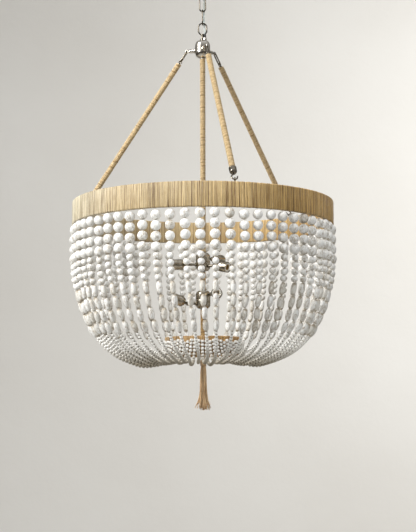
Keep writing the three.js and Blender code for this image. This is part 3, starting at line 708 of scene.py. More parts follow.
def build_canopy():
    low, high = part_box("ceiling_canopy")
    radius, rim = high[0], high[2]
    depth = rim - low[2]
    outer, inner = [], []
    steps, behind_lip = 28, 3
    for i in range(steps + 1):
        angle = math.pi / 2 * i / steps
        outer.append((max(radius * math.cos(angle), CANOPY_HOLE), rim - depth * math.sin(angle)))
        reach = (radius - CANOPY_WALL) * math.cos(angle)
        inner.append((max(reach, CANOPY_HOLE), rim - (depth - CANOPY_WALL) * math.sin(angle)))
    lip = [(radius + out, rim + rise) for out, rise in CANOPY_LIP]
    outline = [(radius - CANOPY_WALL, rim)] + lip + outer[behind_lip:] + inner[:0:-1]
    form = Form().add(*turned(outline, 96))
    form.piece("canopy_dome", NICKEL, "ceiling_canopy", body="ceiling")


def build_canopy_loop():
    low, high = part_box("canopy_loop")
    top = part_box("ceiling_canopy")[0][2] - CLEARANCE
    foot = top - COLLAR_HEIGHT
    stud = [(STUD_RADIUS, top), (STUD_RADIUS, high[2]), (0, high[2])]
    form = Form().add(*turned(outline_of(COLLAR, (foot, top)) + stud))
    middle = low[2] + LOOP_HEIGHT / 2
    path = link_path(LOOP_WIDTH, LOOP_HEIGHT, LOOP_WIRE)
    form.loop(path, LOOP_WIRE, shifted(0, 0, middle) @ rotated(90, "Z"), 16)
    for side in (-1, 1):
        form.lathe(NUT, (0,), shifted(0, side * NUT_REACH, foot - NUT_DROP))
    form.piece("canopy_collar_and_loop", AGED_NICKEL, "canopy_loop", body="ceiling")


def build_chain():
    """Two links; a frame link's wire is six-sided, so its box is narrower than the round wire here."""
    for name, body, turn in [("chain_link_upper", "chain_upper", 0), ("chain_link_lower", "chain_lower", 90)]:
        low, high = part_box(name)
        size, middle = high - low, (low + high) / 2
        wire = min(size[0], size[1]) / 2 / math.cos(math.radians(30))
        path = link_path(max(size[0], size[1]), size[2], wire)
        weld, swell, reach = len(path) // 2, 0.10, 1.3
        radii = [wire * (1 + swell * math.exp(-((i - weld) / reach) ** 2)) for i in range(len(path))]
        form = Form().loop(path, radii, Matrix.Translation(middle) @ rotated(turn, "Z"), 16)
        form.piece(name.replace("chain_", "") + "_of_chain", CHAIN_NICKEL, name, body=body)


CORD_WIRE_RADIUS = 0.00098
CORD_LAY = 0.017
CORD_BESIDE = Vector((0.004, 0.0042, 0))
CORD_TOP_REACH = 0.002
CORD_OVERLAP = 0.0008


def build_cord():
    """Two sleeved wires twisted together beside the chain, down into the hub's bushing."""
    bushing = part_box("cord_bushing")
    mouth = (bushing[0] + bushing[1]) / 2
    foot = Vector((mouth[0], mouth[1], 0))
    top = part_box("power_cord_ceiling")[1][2] + CORD_TOP_REACH
    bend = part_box("power_cord_fixture")[1][2]
    fall = bend - bushing[1][2]
    route = [
        (CORD_BESIDE, top), (CORD_BESIDE, (top + bend) / 2), (CORD_BESIDE, bend),
        (CORD_BESIDE.lerp(foot, 0.14), bend - fall * 0.28),
        (CORD_BESIDE.lerp(foot, 0.86), bend - fall * 0.72), (foot, bushing[1][2]), (foot, bushing[0][2]),
    ]
    line, length = smooth_curve([place + Vector((0, 0, height)) for place, height in route], 240)
    points, side, up = frames_along(line, first=(1, 0, 0))
    pivots = [PIVOTS[name] for name in ("upper_link_swing", "lower_link_swing", "fixture_swing")]
    cuts = [(above.z + below.z) / 2 for above, below in zip(pivots, pivots[1:])]
    cuts = [math.inf] + cuts + [-math.inf]
    nodes = [["power_cord_ceiling"], ["power_cord_upper"], ["power_cord_lower", "power_cord_fixture"]]
    for k, pivot in enumerate(pivots):
        inside = [i for i in range(len(points)) if cuts[k + 1] - CORD_OVERLAP <= points[i][2] <= cuts[k]]
        form = Form()
        for ply in (0, math.pi):
            path = []
            for i in inside:
                angle = 2 * math.pi * (length * i / len(points)) / CORD_LAY + ply
                across = math.cos(angle) * side[i] + math.sin(angle) * up[i]
                path.append(points[i] + CORD_WIRE_RADIUS * across)
            form.wire(path, CORD_WIRE_RADIUS, 10)
        made = form.piece(f"twisted_cord_{k + 1}", CORD, *nodes[k], body=None, slot="clear_cord")
        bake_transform(made)


# Hub


# Levels: the hub's foot and top; its top; its side and an arm's end; the post's foot and head
HUB_BODY = (
    72, 0.006, [(0, 0), (0.0078, 0), (0.0146, 0.0032), (HUB_RADIUS, 0.011)],
    [(HUB_RADIUS, -0.011), (0.0146, -0.0032), (0.0078, 0), (0.0062, 0), (0.0056, 0.0012), (0, 0.0012)],
)
CORD_SEAT = (32, 0.0008, [(0, -0.003), (0.0042, -0.003), (0.0042, 0.0030), (0.0035, 0.0060), (0, 0.0060)])
CORD_SEAT_PLACE = (0.0056, -0.005)
HUB_ARM = (
    32, 0.0012, [(0, -0.004), (0.0064, -0.004), (0.0064, 0.0016), (HUB_ARM_RADIUS, 0.0026)],
    [(HUB_ARM_RADIUS, -0.004), (0.0024, 0.0002), (0, 0.0002)],
)
LOOP_POST = (
    32, 0.0008, [(0, 0), (0.0058, 0), (0.0058, 0.0028), (0.0035, 0.0040)],
    [(0.0035, -0.0030), (0.0046, -0.0024), (0.0046, -0.0010), (0.0030, 0), (0, 0)],
)


def rod_azimuth(index):
    return FIRST_ROD_AZIMUTH + 360 / ROD_COUNT * index


def build_hub():
    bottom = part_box("suspension_hub")[0][2]
    top = bottom + HUB_HEIGHT
    form = Form().lathe(HUB_BODY, (bottom, top), steps=6)
    form.lathe(CORD_SEAT, (top,), shifted(*CORD_SEAT_PLACE))
    for index in range(ROD_COUNT):
        place = outwards(rod_azimuth(index), height_of(HUB_ARM_LEVEL))
        form.lathe(HUB_ARM, (HUB_RADIUS, HUB_ARM_REACH - EYE_RADIUS), place @ rotated(90, "Y"))
        form.eye(place @ shifted(HUB_ARM_REACH))
    form.piece("hub_and_arms", NICKEL, "suspension_hub")


def circle_path(radius, count=32):
    """A circle about the origin in the x-z plane."""
    path = []
    for i in range(count):
        angle = 2 * math.pi * i / count
        path.append((radius * math.cos(angle), 0, radius * math.sin(angle)))
    return path


def build_top_loop():
    low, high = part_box("top_loop")
    middle = high[2] - LOOP_HEIGHT / 2
    form = Form().loop(link_path(LOOP_WIDTH, LOOP_HEIGHT, LOOP_WIRE), LOOP_WIRE, shifted(0, 0, middle), 16)
    form.lathe(LOOP_POST, (low[2], middle - LOOP_HEIGHT / 2 + 2 * LOOP_WIRE))
    form.piece("loop_on_hub", CHAIN_NICKEL, "top_loop")


# The bushing's ribs: their count, the share of its height that they take, and each edge's radius and place
BUSHING_RIBS = (4, 0.62, [(0.0032, 0.6), (0.0026, 0.75)])
BUSHING_FOOT = 0.0032
BUSHING_TAPER = 0.0002
BUSHING_HEAD = [(0.0024, -0.001), (0.0020, 0), (0, 0)]
BUSHING_ROUNDING = 0.0003


def build_bushing():
    low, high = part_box("cord_bushing")
    middle = (low + high) / 2
    foot, top = low[2], high[2]
    outline = [(0, foot), (BUSHING_FOOT, foot)]
    count, part, edges = BUSHING_RIBS
    for i in range(count):
        step = (top - foot) * part / count
        outline += [(radius - BUSHING_TAPER * i, foot + step * i + step * share) for radius, share in edges]
    outline += [(radius, top + rise) for radius, rise in BUSHING_HEAD]
    form = Form().add(*turned(softened(outline, BUSHING_ROUNDING), 32), shifted(middle[0], middle[1]))
    form.piece("cord_grip", RUBBER, "cord_bushing", slot="black_rubber")


# Rods


# The shackle is drawn with a fuller wire than its place is reckoned with
SHACKLE_WIDTH = 0.0086
SHACKLE_HEIGHT = 0.031
SHACKLE_WIRE = 0.0013
SHACKLE_WIRE_SHOWN = 0.0016
HOOK_WIRE = 0.0016
HOOK_RADIUS = 0.0065
HOOK_THROAT = 0.011
HOOK_ROOT = 0.0010
HOOK_NECK = 0.0015
HOOK_FLARE = 0.0012
CAP_HEIGHT = 0.017
CAP_HOLD = 0.005
# Levels: the wrap's foot and top; the cap's foot and top, and the wrap's foot;
# the hoop's top and the eye's foot
ROD_CORE = (24, 0.0006, [(0, 0), (0.0030, 0)], [(0.0030, 0.0010), (0.0018, 0.0024), (0, 0.0024)])
ROD_CAP = (
    40, 0.0012, [(0, 0), (0.0050, 0), (0.0080, 0.0048)],
    [(0.0082, -0.0030), (0.0084, -0.0016), (0.0082, 0), (0.0072, 0)], [(0.0072, 0), (0, 0)],
)
SCREW = (
    24, 0.0003, [
        (0, -0.005), (EYE_WIRE, -0.005), (EYE_WIRE, 0), (0.0030, 0.0003), (0.0030, 0.0009),
        (EYE_WIRE, 0.0012),
    ], [(EYE_WIRE, 0), (0, 0)],
)


def rod_frame(index):
    """A rod's place, with z up along it from its top pivot, and its length to the hoop's eye."""
    azimuth = rod_azimuth(index)
    top = polar(azimuth, HUB_ARM_REACH, height_of(HUB_ARM_LEVEL))
    foot = polar(azimuth, HOOP_MIDDLE_RADIUS, height_of(HOOP_HEIGHT / 2 + HOOP_EYE_STAND))
    along = polar(azimuth + 90, 1, 0)
    up = (top - foot).normalized()
    basis = Matrix((along, up.cross(along), up)).transposed().to_4x4()
    return Matrix.Translation(top) @ basis, (top - foot).length


def build_rod(index):
    place, length = rod_frame(index)
    number = index + 1
    link_top = -EYE_RADIUS + EYE_WIRE + 2 * SHACKLE_WIRE + CLEARANCE
    path = link_path(SHACKLE_WIDTH, SHACKLE_HEIGHT, SHACKLE_WIRE)
    form = Form().loop(path, SHACKLE_WIRE_SHOWN, place @ shifted(0, 0, link_top - SHACKLE_HEIGHT / 2))
    form.piece(f"shackle_{number}", AGED_NICKEL, f"rod_link_{number}")

    link_pivot = link_top - SHACKLE_HEIGHT + SHACKLE_WIRE
    eye_middle = link_pivot + SHACKLE_WIRE + EYE_WIRE + CLEARANCE - EYE_RADIUS
    wrap_top = eye_middle - EYE_RADIUS - EYE_WIRE
    hook_pivot = -length + EYE_RADIUS - EYE_WIRE - HOOK_WIRE - 2 * CLEARANCE
    cap_bottom = hook_pivot + HOOK_RADIUS + HOOK_THROAT
    cap_top = cap_bottom + CAP_HEIGHT
    wrap_bottom = cap_top - CAP_HOLD

    form = Form().eye(place @ shifted(0, 0, eye_middle) @ rotated(90, "Z"))
    form.lathe(ROD_CORE, (wrap_bottom, wrap_top), place)
    form.piece(f"rod_and_eye_{number}", AGED_NICKEL, f"rod_core_{number}", slot="steel")

    form = Form()
    winding(form, ROD_WRAP_RADIUS, wrap_bottom, wrap_top, TWINE_RADIUS, place, tone=ROD_WRAP_TONES[index])
    form.piece(f"jute_on_rod_{number}", JUTE, f"rod_wrap_{number}", slot="jute")

    form = Form().lathe(ROD_CAP, (cap_bottom, cap_top, wrap_bottom - CLEARANCE), place)
    bend = hook_pivot + HOOK_RADIUS
    slope = HOOK_RADIUS * math.sqrt(0.5)
    knots = [
        (0, cap_bottom + HOOK_ROOT), (0, cap_bottom - HOOK_NECK),
        (-HOOK_RADIUS * 0.62, bend + HOOK_THROAT * 0.52), (-HOOK_RADIUS, bend + HOOK_THROAT * 0.10),
        (-slope, bend - slope), (0, hook_pivot), (slope, bend - slope),
        (HOOK_RADIUS, bend), (HOOK_RADIUS + HOOK_FLARE, bend + HOOK_THROAT / 3),
    ]
    count, tapered, taper = 48, 4, 0.12
    path, _ = smooth_curve([(x, 0, z) for x, z in knots], count)
    radii = [HOOK_WIRE * (1 - taper * max(0, i - count + tapered + 1)) for i in range(count)]
    form.wire(path, radii, 14, place, first=(0, 1, 0))
    form.piece(f"cap_and_hook_{number}", AGED_NICKEL, f"rod_hook_{number}")


def build_hoop_eye(index):
    band_top = height_of(HOOP_HEIGHT / 2)
    middle = band_top + HOOP_EYE_STAND
    place = outwards(rod_azimuth(index)) @ shifted(HOOP_MIDDLE_RADIUS)
    form = Form().eye(place @ shifted(0, 0, middle))
    form.lathe(SCREW, (band_top, middle - EYE_RADIUS), place)
    form.piece(f"screw_eye_{index + 1}", AGED_NICKEL, f"hoop_eye_{index + 1}")


# Hoop and ring wound with raffia


def section_path(outer, inner, low, high, corner, count):
    """Points round the band's section in the (out, up) plane, rounded at its corners."""
    path = []
    middle_out, middle_up = (outer + inner) / 2, (low + high) / 2
    half_out, half_up = (outer - inner) / 2 - corner, (high - low) / 2 - corner
    per = count // 4
    for quarter, (sign_out, sign_up) in enumerate([(1, 1), (-1, 1), (-1, -1), (1, -1)]):
        for i in range(per):
            angle = math.pi / 2 * (quarter + i / (per - 1))
            path.append((
                middle_out + sign_out * half_out + corner * math.cos(angle),
                middle_up + sign_up * half_up + corner * math.sin(angle),
            ))
    return path


# A strip's section: shares of its width across, and how far it stands off the band
STRIP_SECTION = [(-0.5, -0.0003), (-0.36, 0.0002), (0, 0.0005), (0.36, 0.0002), (0.5, -0.0003), (0, -0.0006)]


def wound_band(name, finish, node, outer, thickness, low, high, lean):
    """A band wound round with flat strips, each a little askew, humped and overlapping the next."""
    form = Form()
    count = round(2 * math.pi * outer / RAFFIA_STRIP)
    inner = outer - thickness + BAND_INSET
    section = np.array(section_path(outer - BAND_INSET, inner, low, high, BAND_CORNER, 16))
    middle = section[:, 1].mean()
    outward = np.gradient(np.vstack([section[-1:], section, section[:1]]), axis=0)[1:-1]
    outward = np.column_stack([outward[:, 1], -outward[:, 0]])
    outward /= np.linalg.norm(outward, axis=1)[:, None]
    across, stand = np.array(STRIP_SECTION).T
    run = np.repeat(run_along(section), len(across))
    shares = np.array([chance.uniform(0.7, 1.3) for _ in range(count)])
    widths = shares / shares.sum() * 2 * math.pi
    places = math.pi + np.cumsum(widths) - widths / 2
    tilt = 0.0
    for angle, width in zip(places, widths):
        tilt = 0.7 * tilt + chance.gauss(0, 1) * lean
        lift = chance.uniform(0.0, STRIP_LIFT)
        points = section[:, None] + outward[:, None] * (stand + lift)[:, None]
        slant = tilt * (section[:, 1] - middle) / (high - low) * RAFFIA_STRIP / outer
        turns = angle + slant[:, None] + across * width * STRIP_OVERLAP
        reach, height = points[..., 0], points[..., 1]
        rows = np.stack([reach * np.sin(turns), -reach * np.cos(turns), height], axis=2)
        corners, faces = skin(rows, endless=True)
        width_across = np.tile(across * RAFFIA_STRIP, len(rows))
        grain = np.column_stack([run, width_across, np.full(len(run), chance.random())])
        tone = chance.gauss(0.32, 0.1) if chance.random() < 0.12 else chance.gauss(0.73, 0.09)
        form.add(corners, faces, None, grain, min(max(tone, 0), 1))
    form.piece(name, finish, node, slot="raffia")


def build_hoop_and_ring():
    half, top = HOOP_HEIGHT / 2, height_of(RING_TOP_LEVEL)
    wound_band("raffia_on_hoop", RAFFIA, "hoop_wrap", HOOP_RADIUS, HOOP_THICKNESS,
               height_of(-half), height_of(half), lean=0.12)
    wound_band("raffia_on_ring", TAN_RAFFIA, "ring_wrap", RING_RADIUS, RING_THICKNESS,
               top - RING_HEIGHT, top, lean=0.3)


# Beads


def bead_shape(radius, half, hole, start, mouth, rows, sides, flat=1.0, power=1.0):
    """A turned bead about z, whose side runs from the angle start to its mirror, with a mouth at each end."""
    outline = []
    for i in range(rows + 1):
        angle = start + (math.pi - 2 * start) * i / rows
        outline.append((radius * math.sin(angle) ** power, -half * math.cos(angle) * flat))
    return turned([(hole, -half * mouth)] + outline + [(hole, half * mouth)], sides)


def round_bead(kind, rows, sides):
    """A bead a little flat at the mouths of its bore."""
    radius, half, hole = kind["radius"], kind["pitch"] / 2, kind["hole"]
    start = math.asin(min(hole * 1.7 / radius, 0.9))
    return bead_shape(radius, half, hole, start, 0.9, rows, sides, flat=0.985)


def spindle_bead(kind, rows, sides):
    """A long bead with straight sides and rounded shoulders."""
    return bead_shape(kind["radius"], kind["pitch"] / 2, kind["hole"], 0.22, 0.94, rows, sides, power=0.72)


def string_line(azimuth, slack):
    """One string's path from the hoop's foot down and in to the ring, where its run leans to the front."""
    start = height_of(-HOOP_HEIGHT / 2)
    face = RING_RADIUS + SMALL_BEAD_RADIUS * math.sin(2 * math.pi / 3) + CLEARANCE
    drawn_up = FAR_STRING_RISE * max(0, -math.cos(math.radians(azimuth))) - slack
    lean = math.degrees(RING_RUN_LEAN / RING_RADIUS) * math.sin(math.radians(azimuth))
    knots = [polar(azimuth, HOOP_MIDDLE_RADIUS, start + STRING_WIRE_STAND)]
    for out, down, rise in BOWL_SHARES:
        held = (1 - down) / (1 - BOWL_SHARES[-1][1]) if out < 0.1 else 0
        height = start - down * BOWL_DEPTH + rise * drawn_up
        knots.append(polar(azimuth - lean * held, face + out * (HOOP_MIDDLE_RADIUS - face), height))
    return smooth_curve(knots, 320)


def sideways_shift(run, length, sway):
    """How far a string hangs beside its path: a wave, a bow and a drift that is widest low in the bowl."""
    wave, start, bow, drift = sway
    share = np.minimum(run / length, 1)
    low_down = np.sin(math.pi * share ** 1.8) * np.clip((0.95 - share) / 0.2, 0, 1)
    return np.sin(math.pi * share) * (wave * np.sin(run * 14 + start) + bow) + low_down * drift


def bead_spots(length, shapes, small):
    """Each bead of a string: its shape, its tone and how far along it sits."""
    along = FIRST_BEAD_GAP + chance.uniform(0, FIRST_BEAD_PLAY)
    spots = []
    for shape, kind in zip(shapes, (LARGE_BEAD, MEDIUM_BEAD, SPINDLE_BEAD)):
        for _ in range(kind["count"]):
            pitch = kind["pitch"] * (1 + abs(chance.gauss(0, 0.02)))
            spots.append((shape, kind["tone"], along + pitch / 2))
            along += pitch
    pitch = 2 * SMALL_BEAD_RADIUS * 1.03
    while along + pitch / 2 < length:
        spots.append((small, SMALL_BEAD_TONE, along + pitch / 2))
        along += pitch
    return spots


def build_strings():
    small = bead_shape(SMALL_BEAD_RADIUS, SMALL_BEAD_RADIUS, 0, math.pi / 7, 0.94, 5, 10)
    shapes = [
        round_bead(LARGE_BEAD, 10, 18), round_bead(MEDIUM_BEAD, 9, 16), spindle_bead(SPINDLE_BEAD, 10, 14),
    ]
    for group in range(STRAND_COUNT // STRANDS_PER_GROUP):
        form, threads = Form(), Form()
        first = FIRST_STRAND_AZIMUTH + STRAND_STEP * STRANDS_PER_GROUP * group
        for k in range(STRANDS_PER_GROUP):
            azimuth = FIRST_STRAND_AZIMUTH + STRAND_STEP * (group * STRANDS_PER_GROUP + k)
            line, length = string_line(azimuth, chance.gauss(0, STRING_SLACK))
            run = np.linspace(0, length, len(line))
            sideways = np.array(polar(azimuth + 90, 1, 0))
            drift = NEAR_STRING_DRIFT * max(0, math.cos(math.radians(azimuth)))
            sway = chance.gauss(0, STRING_WAVE), chance.uniform(0, 6), chance.gauss(0, STRING_BOW), drift
            for shape, tone, spot in bead_spots(length, shapes, small):
                shift = sideways * sideways_shift(spot, length, sway)
                place_bead(form, shape, tone, line, run, spot, shift)
            shift = sideways_shift(run, length, sway)
            thread = (line + shift[:, None] * sideways)[::8]
            threads.add(*tube(thread, THREAD_RADIUS, 5)[:2])
        rise = height_of(-HOOP_HEIGHT / 2) + STRING_WIRE_STAND
        wire = [polar(first + turn, HOOP_MIDDLE_RADIUS, rise) for turn in range(-2, 57, 2)]
        threads.add(*tube(wire, STRING_WIRE_RADIUS, 6)[:2])
        number = group + 1
        form.piece(f"beads_{number}", WOOD, f"bead_strands_{number}", slot="bead_wood")
        threads.piece(f"bead_threads_{number}", THREAD, slot="bead_wood")


def place_bead(form, shape, tone, line, run, spot, shift):
    """One bead on its thread, a little tilted, turned and out of round, with grain of its own."""
    look = 0.002
    ahead = np.array([np.interp(spot + look, run, line[:, k]) for k in range(3)])
    back = np.array([np.interp(spot - look, run, line[:, k]) for k in range(3)])
    here = (ahead + back) / 2 + shift
    tangent = Vector(ahead - back).normalized()
    tilt = Matrix.Rotation(chance.gauss(0, 0.05), 4, "X") @ Matrix.Rotation(chance.gauss(0, 0.05), 4, "Y")
    spin = Matrix.Rotation(chance.uniform(0, 2 * math.pi), 4, "Z")
    scale = Matrix.Diagonal((chance.gauss(0.985, 0.02), chance.gauss(0.985, 0.02), 1.0, 1.0))
    turn = tangent.to_track_quat("Z", "X").to_matrix().to_4x4()
    place = Matrix.Translation(Vector(here)) @ turn @ tilt @ spin @ scale
    corners, faces = np.asarray(shape[0], float), shape[1]
    grain = corners + [chance.uniform(-1, 1) for _ in range(3)]
    # Painted shade: the tone drops towards the bead's ends, where beads meet.
    heights = np.abs(corners[:, 2])
    crease_shade = np.clip((heights / heights.max() - 0.70) / 0.25, 0, 1)
    if tone < SMALL_BEAD_TONE:
        tone = min(max(chance.gauss(tone, 0.2), 0.24), 1)
    form.add(corners, faces, place, grain, tone - 0.6 * crease_shade)


# Stem, clusters and lamp holders


def build_stem():
    # The middle and lower wraps take the jute's darker copy, painted shade inside the bowl.
    for part, finish in (("upper", JUTE), ("middle", JUTE_IN_PAINTED_SHADE), ("lower", JUTE_IN_PAINTED_SHADE)):
        low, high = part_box(f"stem_wrap_{part}")
        form = Form()
        winding(form, STEM_RADIUS, low[2], high[2], TWINE_RADIUS)
        form.piece(f"jute_on_stem_{part}", finish, f"stem_wrap_{part}", slot="jute")


# Levels: a cluster's foot, middle and top
CLUSTER = (
    72, 0.0022, [(0.00505, 0), (0.01175, 0), (0.01615, 0.0052), (CLUSTER_RADIUS, 0.0075)],
    [(CLUSTER_RADIUS, -0.0010), (0.01625, 0), (CLUSTER_RADIUS, 0.0010)],
    [(CLUSTER_RADIUS, -0.0075), (0.01615, -0.0052), (0.01175, 0), (0.00505, 0)],
)
EAR_RADIUS = 0.005
EAR_THICKNESS = 0.003
EAR_BEVEL = 0.0004
NECK_HALF = 0.0030
CUP_NECK_REACH = 0.0010
CUP_BASE = 0.007
CUP_FLOOR = 0.013
CUP_MOUTH = 0.035
# Levels: the cluster's side and the arm's end; the two ears' outer faces
LAMP_ARM = (
    32, 0.0008, [(0, -0.0004), (0.0046, -0.0004), (0.0046, 0.0018), (0.0032, 0.0026)],
    [(0.0032, -0.001), (0.0024, 0), (0, 0)],
)
KNUCKLE_PIN = (
    24, 0.0005, [(0, -0.0014), (0.0026, -0.0014), (0.0026, -0.0002), (0.0017, -0.0002)],
    [(0.0017, 0.0004), (0.0026, 0.0004), (0.0026, 0.0014), (0, 0.0016)],
)
# Levels: the cup's base, floor, mouth and floor; floor, mouth and floor; floor
LAMP_CUP = (
    48, 0.0009, [(0, 0), (0.0066, 0), (0.0078, 0.0014)], [(0.0120, -0.0006), (0.0124, 0.0030)],
    [(0.0124, -0.0034), (0.0128, -0.0026), (0.0128, 0), (0.0115, 0)], [(0.0115, 0.0014), (0, 0.0014)],
)
INSULATOR = (
    48, 0.0005, [(0.0070, 0.0012), (0.0112, 0.0012)],
    [(0.0112, -0.0016), (0.0100, -0.0006), (0.0076, -0.0006), (0.0070, -0.0014)], [(0.0070, 0.0012)],
)
INSULATOR_FLOOR = (32, 0.0004, [(0, 0.0012), (0.0072, 0.0012), (0.0072, 0.0030), (0, 0.0030)])
CONTACT = (24, 0.0005, [(0, 0.0031), (0.0022, 0.0031), (0.0020, 0.0044), (0, 0.0050)])
SHELL_RADIUS = 0.0063
SHELL_OUTSIDE = 0.0068
SHELL_FOOT = CUP_FLOOR + 0.0032
SHELL_HEAD = CUP_MOUTH - 0.0024
SHELL_THREADS = 5
SHELL_THREAD_DEPTH = 0.0003


def build_cluster(part, level):
    middle, half = height_of(level), CLUSTER_HEIGHT / 2
    form = Form().lathe(CLUSTER, (middle - half, middle, middle + half))
    form.piece(f"cluster_{part}", LAMP_NICKEL, f"cluster_body_{part}")


def ear(neck_end):
    """A plate beside the knuckle's middle: a round ear whose neck runs along x to neck_end."""
    points = []
    start = math.asin(min(NECK_HALF / EAR_RADIUS, 1))
    away = math.copysign(1, -neck_end)
    for i in range(25):
        angle = -(math.pi - start) + 2 * (math.pi - start) * i / 24
        points.append((away * EAR_RADIUS * math.cos(angle), EAR_RADIUS * math.sin(angle)))
    points += [(neck_end, NECK_HALF), (neck_end, -NECK_HALF)]
    return slab(points, CLEARANCE / 2, CLEARANCE / 2 + EAR_THICKNESS, EAR_BEVEL)


def build_lamp_holder(index):
    level, azimuth, rise, roll, turn = LAMP_HOLDERS[index]
    number = index + 1
    arm = outwards(azimuth, height_of(level + rise)) @ rotated(roll, "X")
    knuckle = arm @ shifted(SOCKET_REACH)
    arm_end = SOCKET_REACH - EAR_RADIUS - CLEARANCE
    form = Form().lathe(LAMP_ARM, (CLUSTER_RADIUS, arm_end), arm @ rotated(90, "Y"))
    mirrored = Matrix.Scale(-1, 4, (0, 0, 1))
    form.add(*ear(-(EAR_RADIUS + CLEARANCE + EAR_THICKNESS)), knuckle @ rotated(90, "X") @ mirrored)
    form.lathe(KNUCKLE_PIN, (-EAR_THICKNESS, EAR_THICKNESS), knuckle @ rotated(-90, "X"))
    form.piece(f"lamp_arm_{number}", AGED_NICKEL, f"socket_arm_{number}")

    swing = knuckle @ rotated(-turn, "Y")
    along = swing @ rotated(90, "Y")
    body = f"lamp_holder_{number}"
    form = Form().lathe(LAMP_CUP, (CUP_BASE, CUP_FLOOR, CUP_MOUTH, CUP_FLOOR), along)
    form.add(*ear(CUP_BASE + CUP_NECK_REACH), swing @ rotated(90, "X"))
    form.piece(f"lamp_cup_{number}", LAMP_NICKEL, f"lamp_socket_{number}", body=body)

    tube_outline = outline_of(INSULATOR, (CUP_FLOOR, CUP_MOUTH, CUP_FLOOR))
    form = Form().add(*turned(tube_outline[:-1], INSULATOR[0]), along)
    form.lathe(INSULATOR_FLOOR, (CUP_FLOOR,), along)
    form.piece(f"lamp_insulator_{number}", PORCELAIN, body=body)

    shell, steps = [], SHELL_THREADS * 6
    for i in range(steps + 1):
        height = SHELL_FOOT + (SHELL_HEAD - SHELL_FOOT) * i / steps
        shell.append((SHELL_RADIUS + SHELL_THREAD_DEPTH * math.sin(2 * math.pi * i / 6), height))
    shell += [(SHELL_OUTSIDE, shell[-1][1]), (SHELL_OUTSIDE, shell[0][1])]
    form = Form().add(*turned(shell, 40), along)
    form.lathe(CONTACT, (CUP_FLOOR,), along)
    form.piece(f"lamp_contacts_{number}", BRASS, body=body)


# Finial and tassel


# Levels: the finial's top; the tassel head's foot, dome and top
FINIAL = (
    48, 0.0012, [
        (0, -0.0066), (0.0026, -0.0064), (0.0052, -0.0046), (0.0070, -0.0022), (0.0070, -0.0004), (0.0064, 0),
        (0, 0),
    ],
)
FINIAL_DEPTH = 0.006
FINIAL_EYE_RADIUS = 0.0032
FINIAL_EYE_WIRE = 0.0010
TASSEL_LOOP_RADIUS = 0.0032
TASSEL_LOOP_WIRE = 0.0012
TASSEL_DOME_STAND = 0.0062
TASSEL_CORE = (
    28, 0.002, [(0, -0.002), (0.0056, -0.002)], [(0.0058, 0), (0.0066, 0.003)],
    [(0.0050, -0.001), (0, 0.0004)],
)
TASSEL_BAND = {"radius": 0.0075, "reach": 0.001, "twine": 0.0008, "wobble": 0.00006}
# The strands over the dome: turn, radius and rise, two from the head's top and two from the dome's foot
DOME_COVERS = [(0, 0.0016, 0.0008), (10, 0.0052, -0.0026)], [(16, 0.0068, 0.0030), (20, 0.0062, -0.0010)]
DOME_COVER_COUNT = 26
DOME_COVER_RADIUS = 0.00085
STRAND_RADIUS = 0.00092
TASSEL_STRANDS = 110
TASSEL_LOCKS = 13
GOLDEN_ANGLE = 137.508
# A strand's fall: share of its tilt, radius of the outermost strand, and rise from the skirt's top
STRAND_FALL = [(0, 0.0048, 0.0010), (0.3, 0.0062, -0.012), (0.8, 0.0076, -0.042), (1, 0.0092, -0.066)]
STRAND_FLARE = (0.6, 0.0106, -0.084)
LOCK_RAGGED = 0.008
STRAND_RAGGED = 0.003
STRAND_END_GAP = 0.0006


def build_finial():
    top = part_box("stem_finial")[1][2]
    form = Form().lathe(FINIAL, (top,))
    middle = top - FINIAL_DEPTH - FINIAL_EYE_RADIUS
    form.loop(circle_path(FINIAL_EYE_RADIUS), FINIAL_EYE_WIRE, shifted(0, 0, middle) @ rotated(90, "Z"))
    form.piece("finial_and_eye", AGED_NICKEL, "stem_finial")


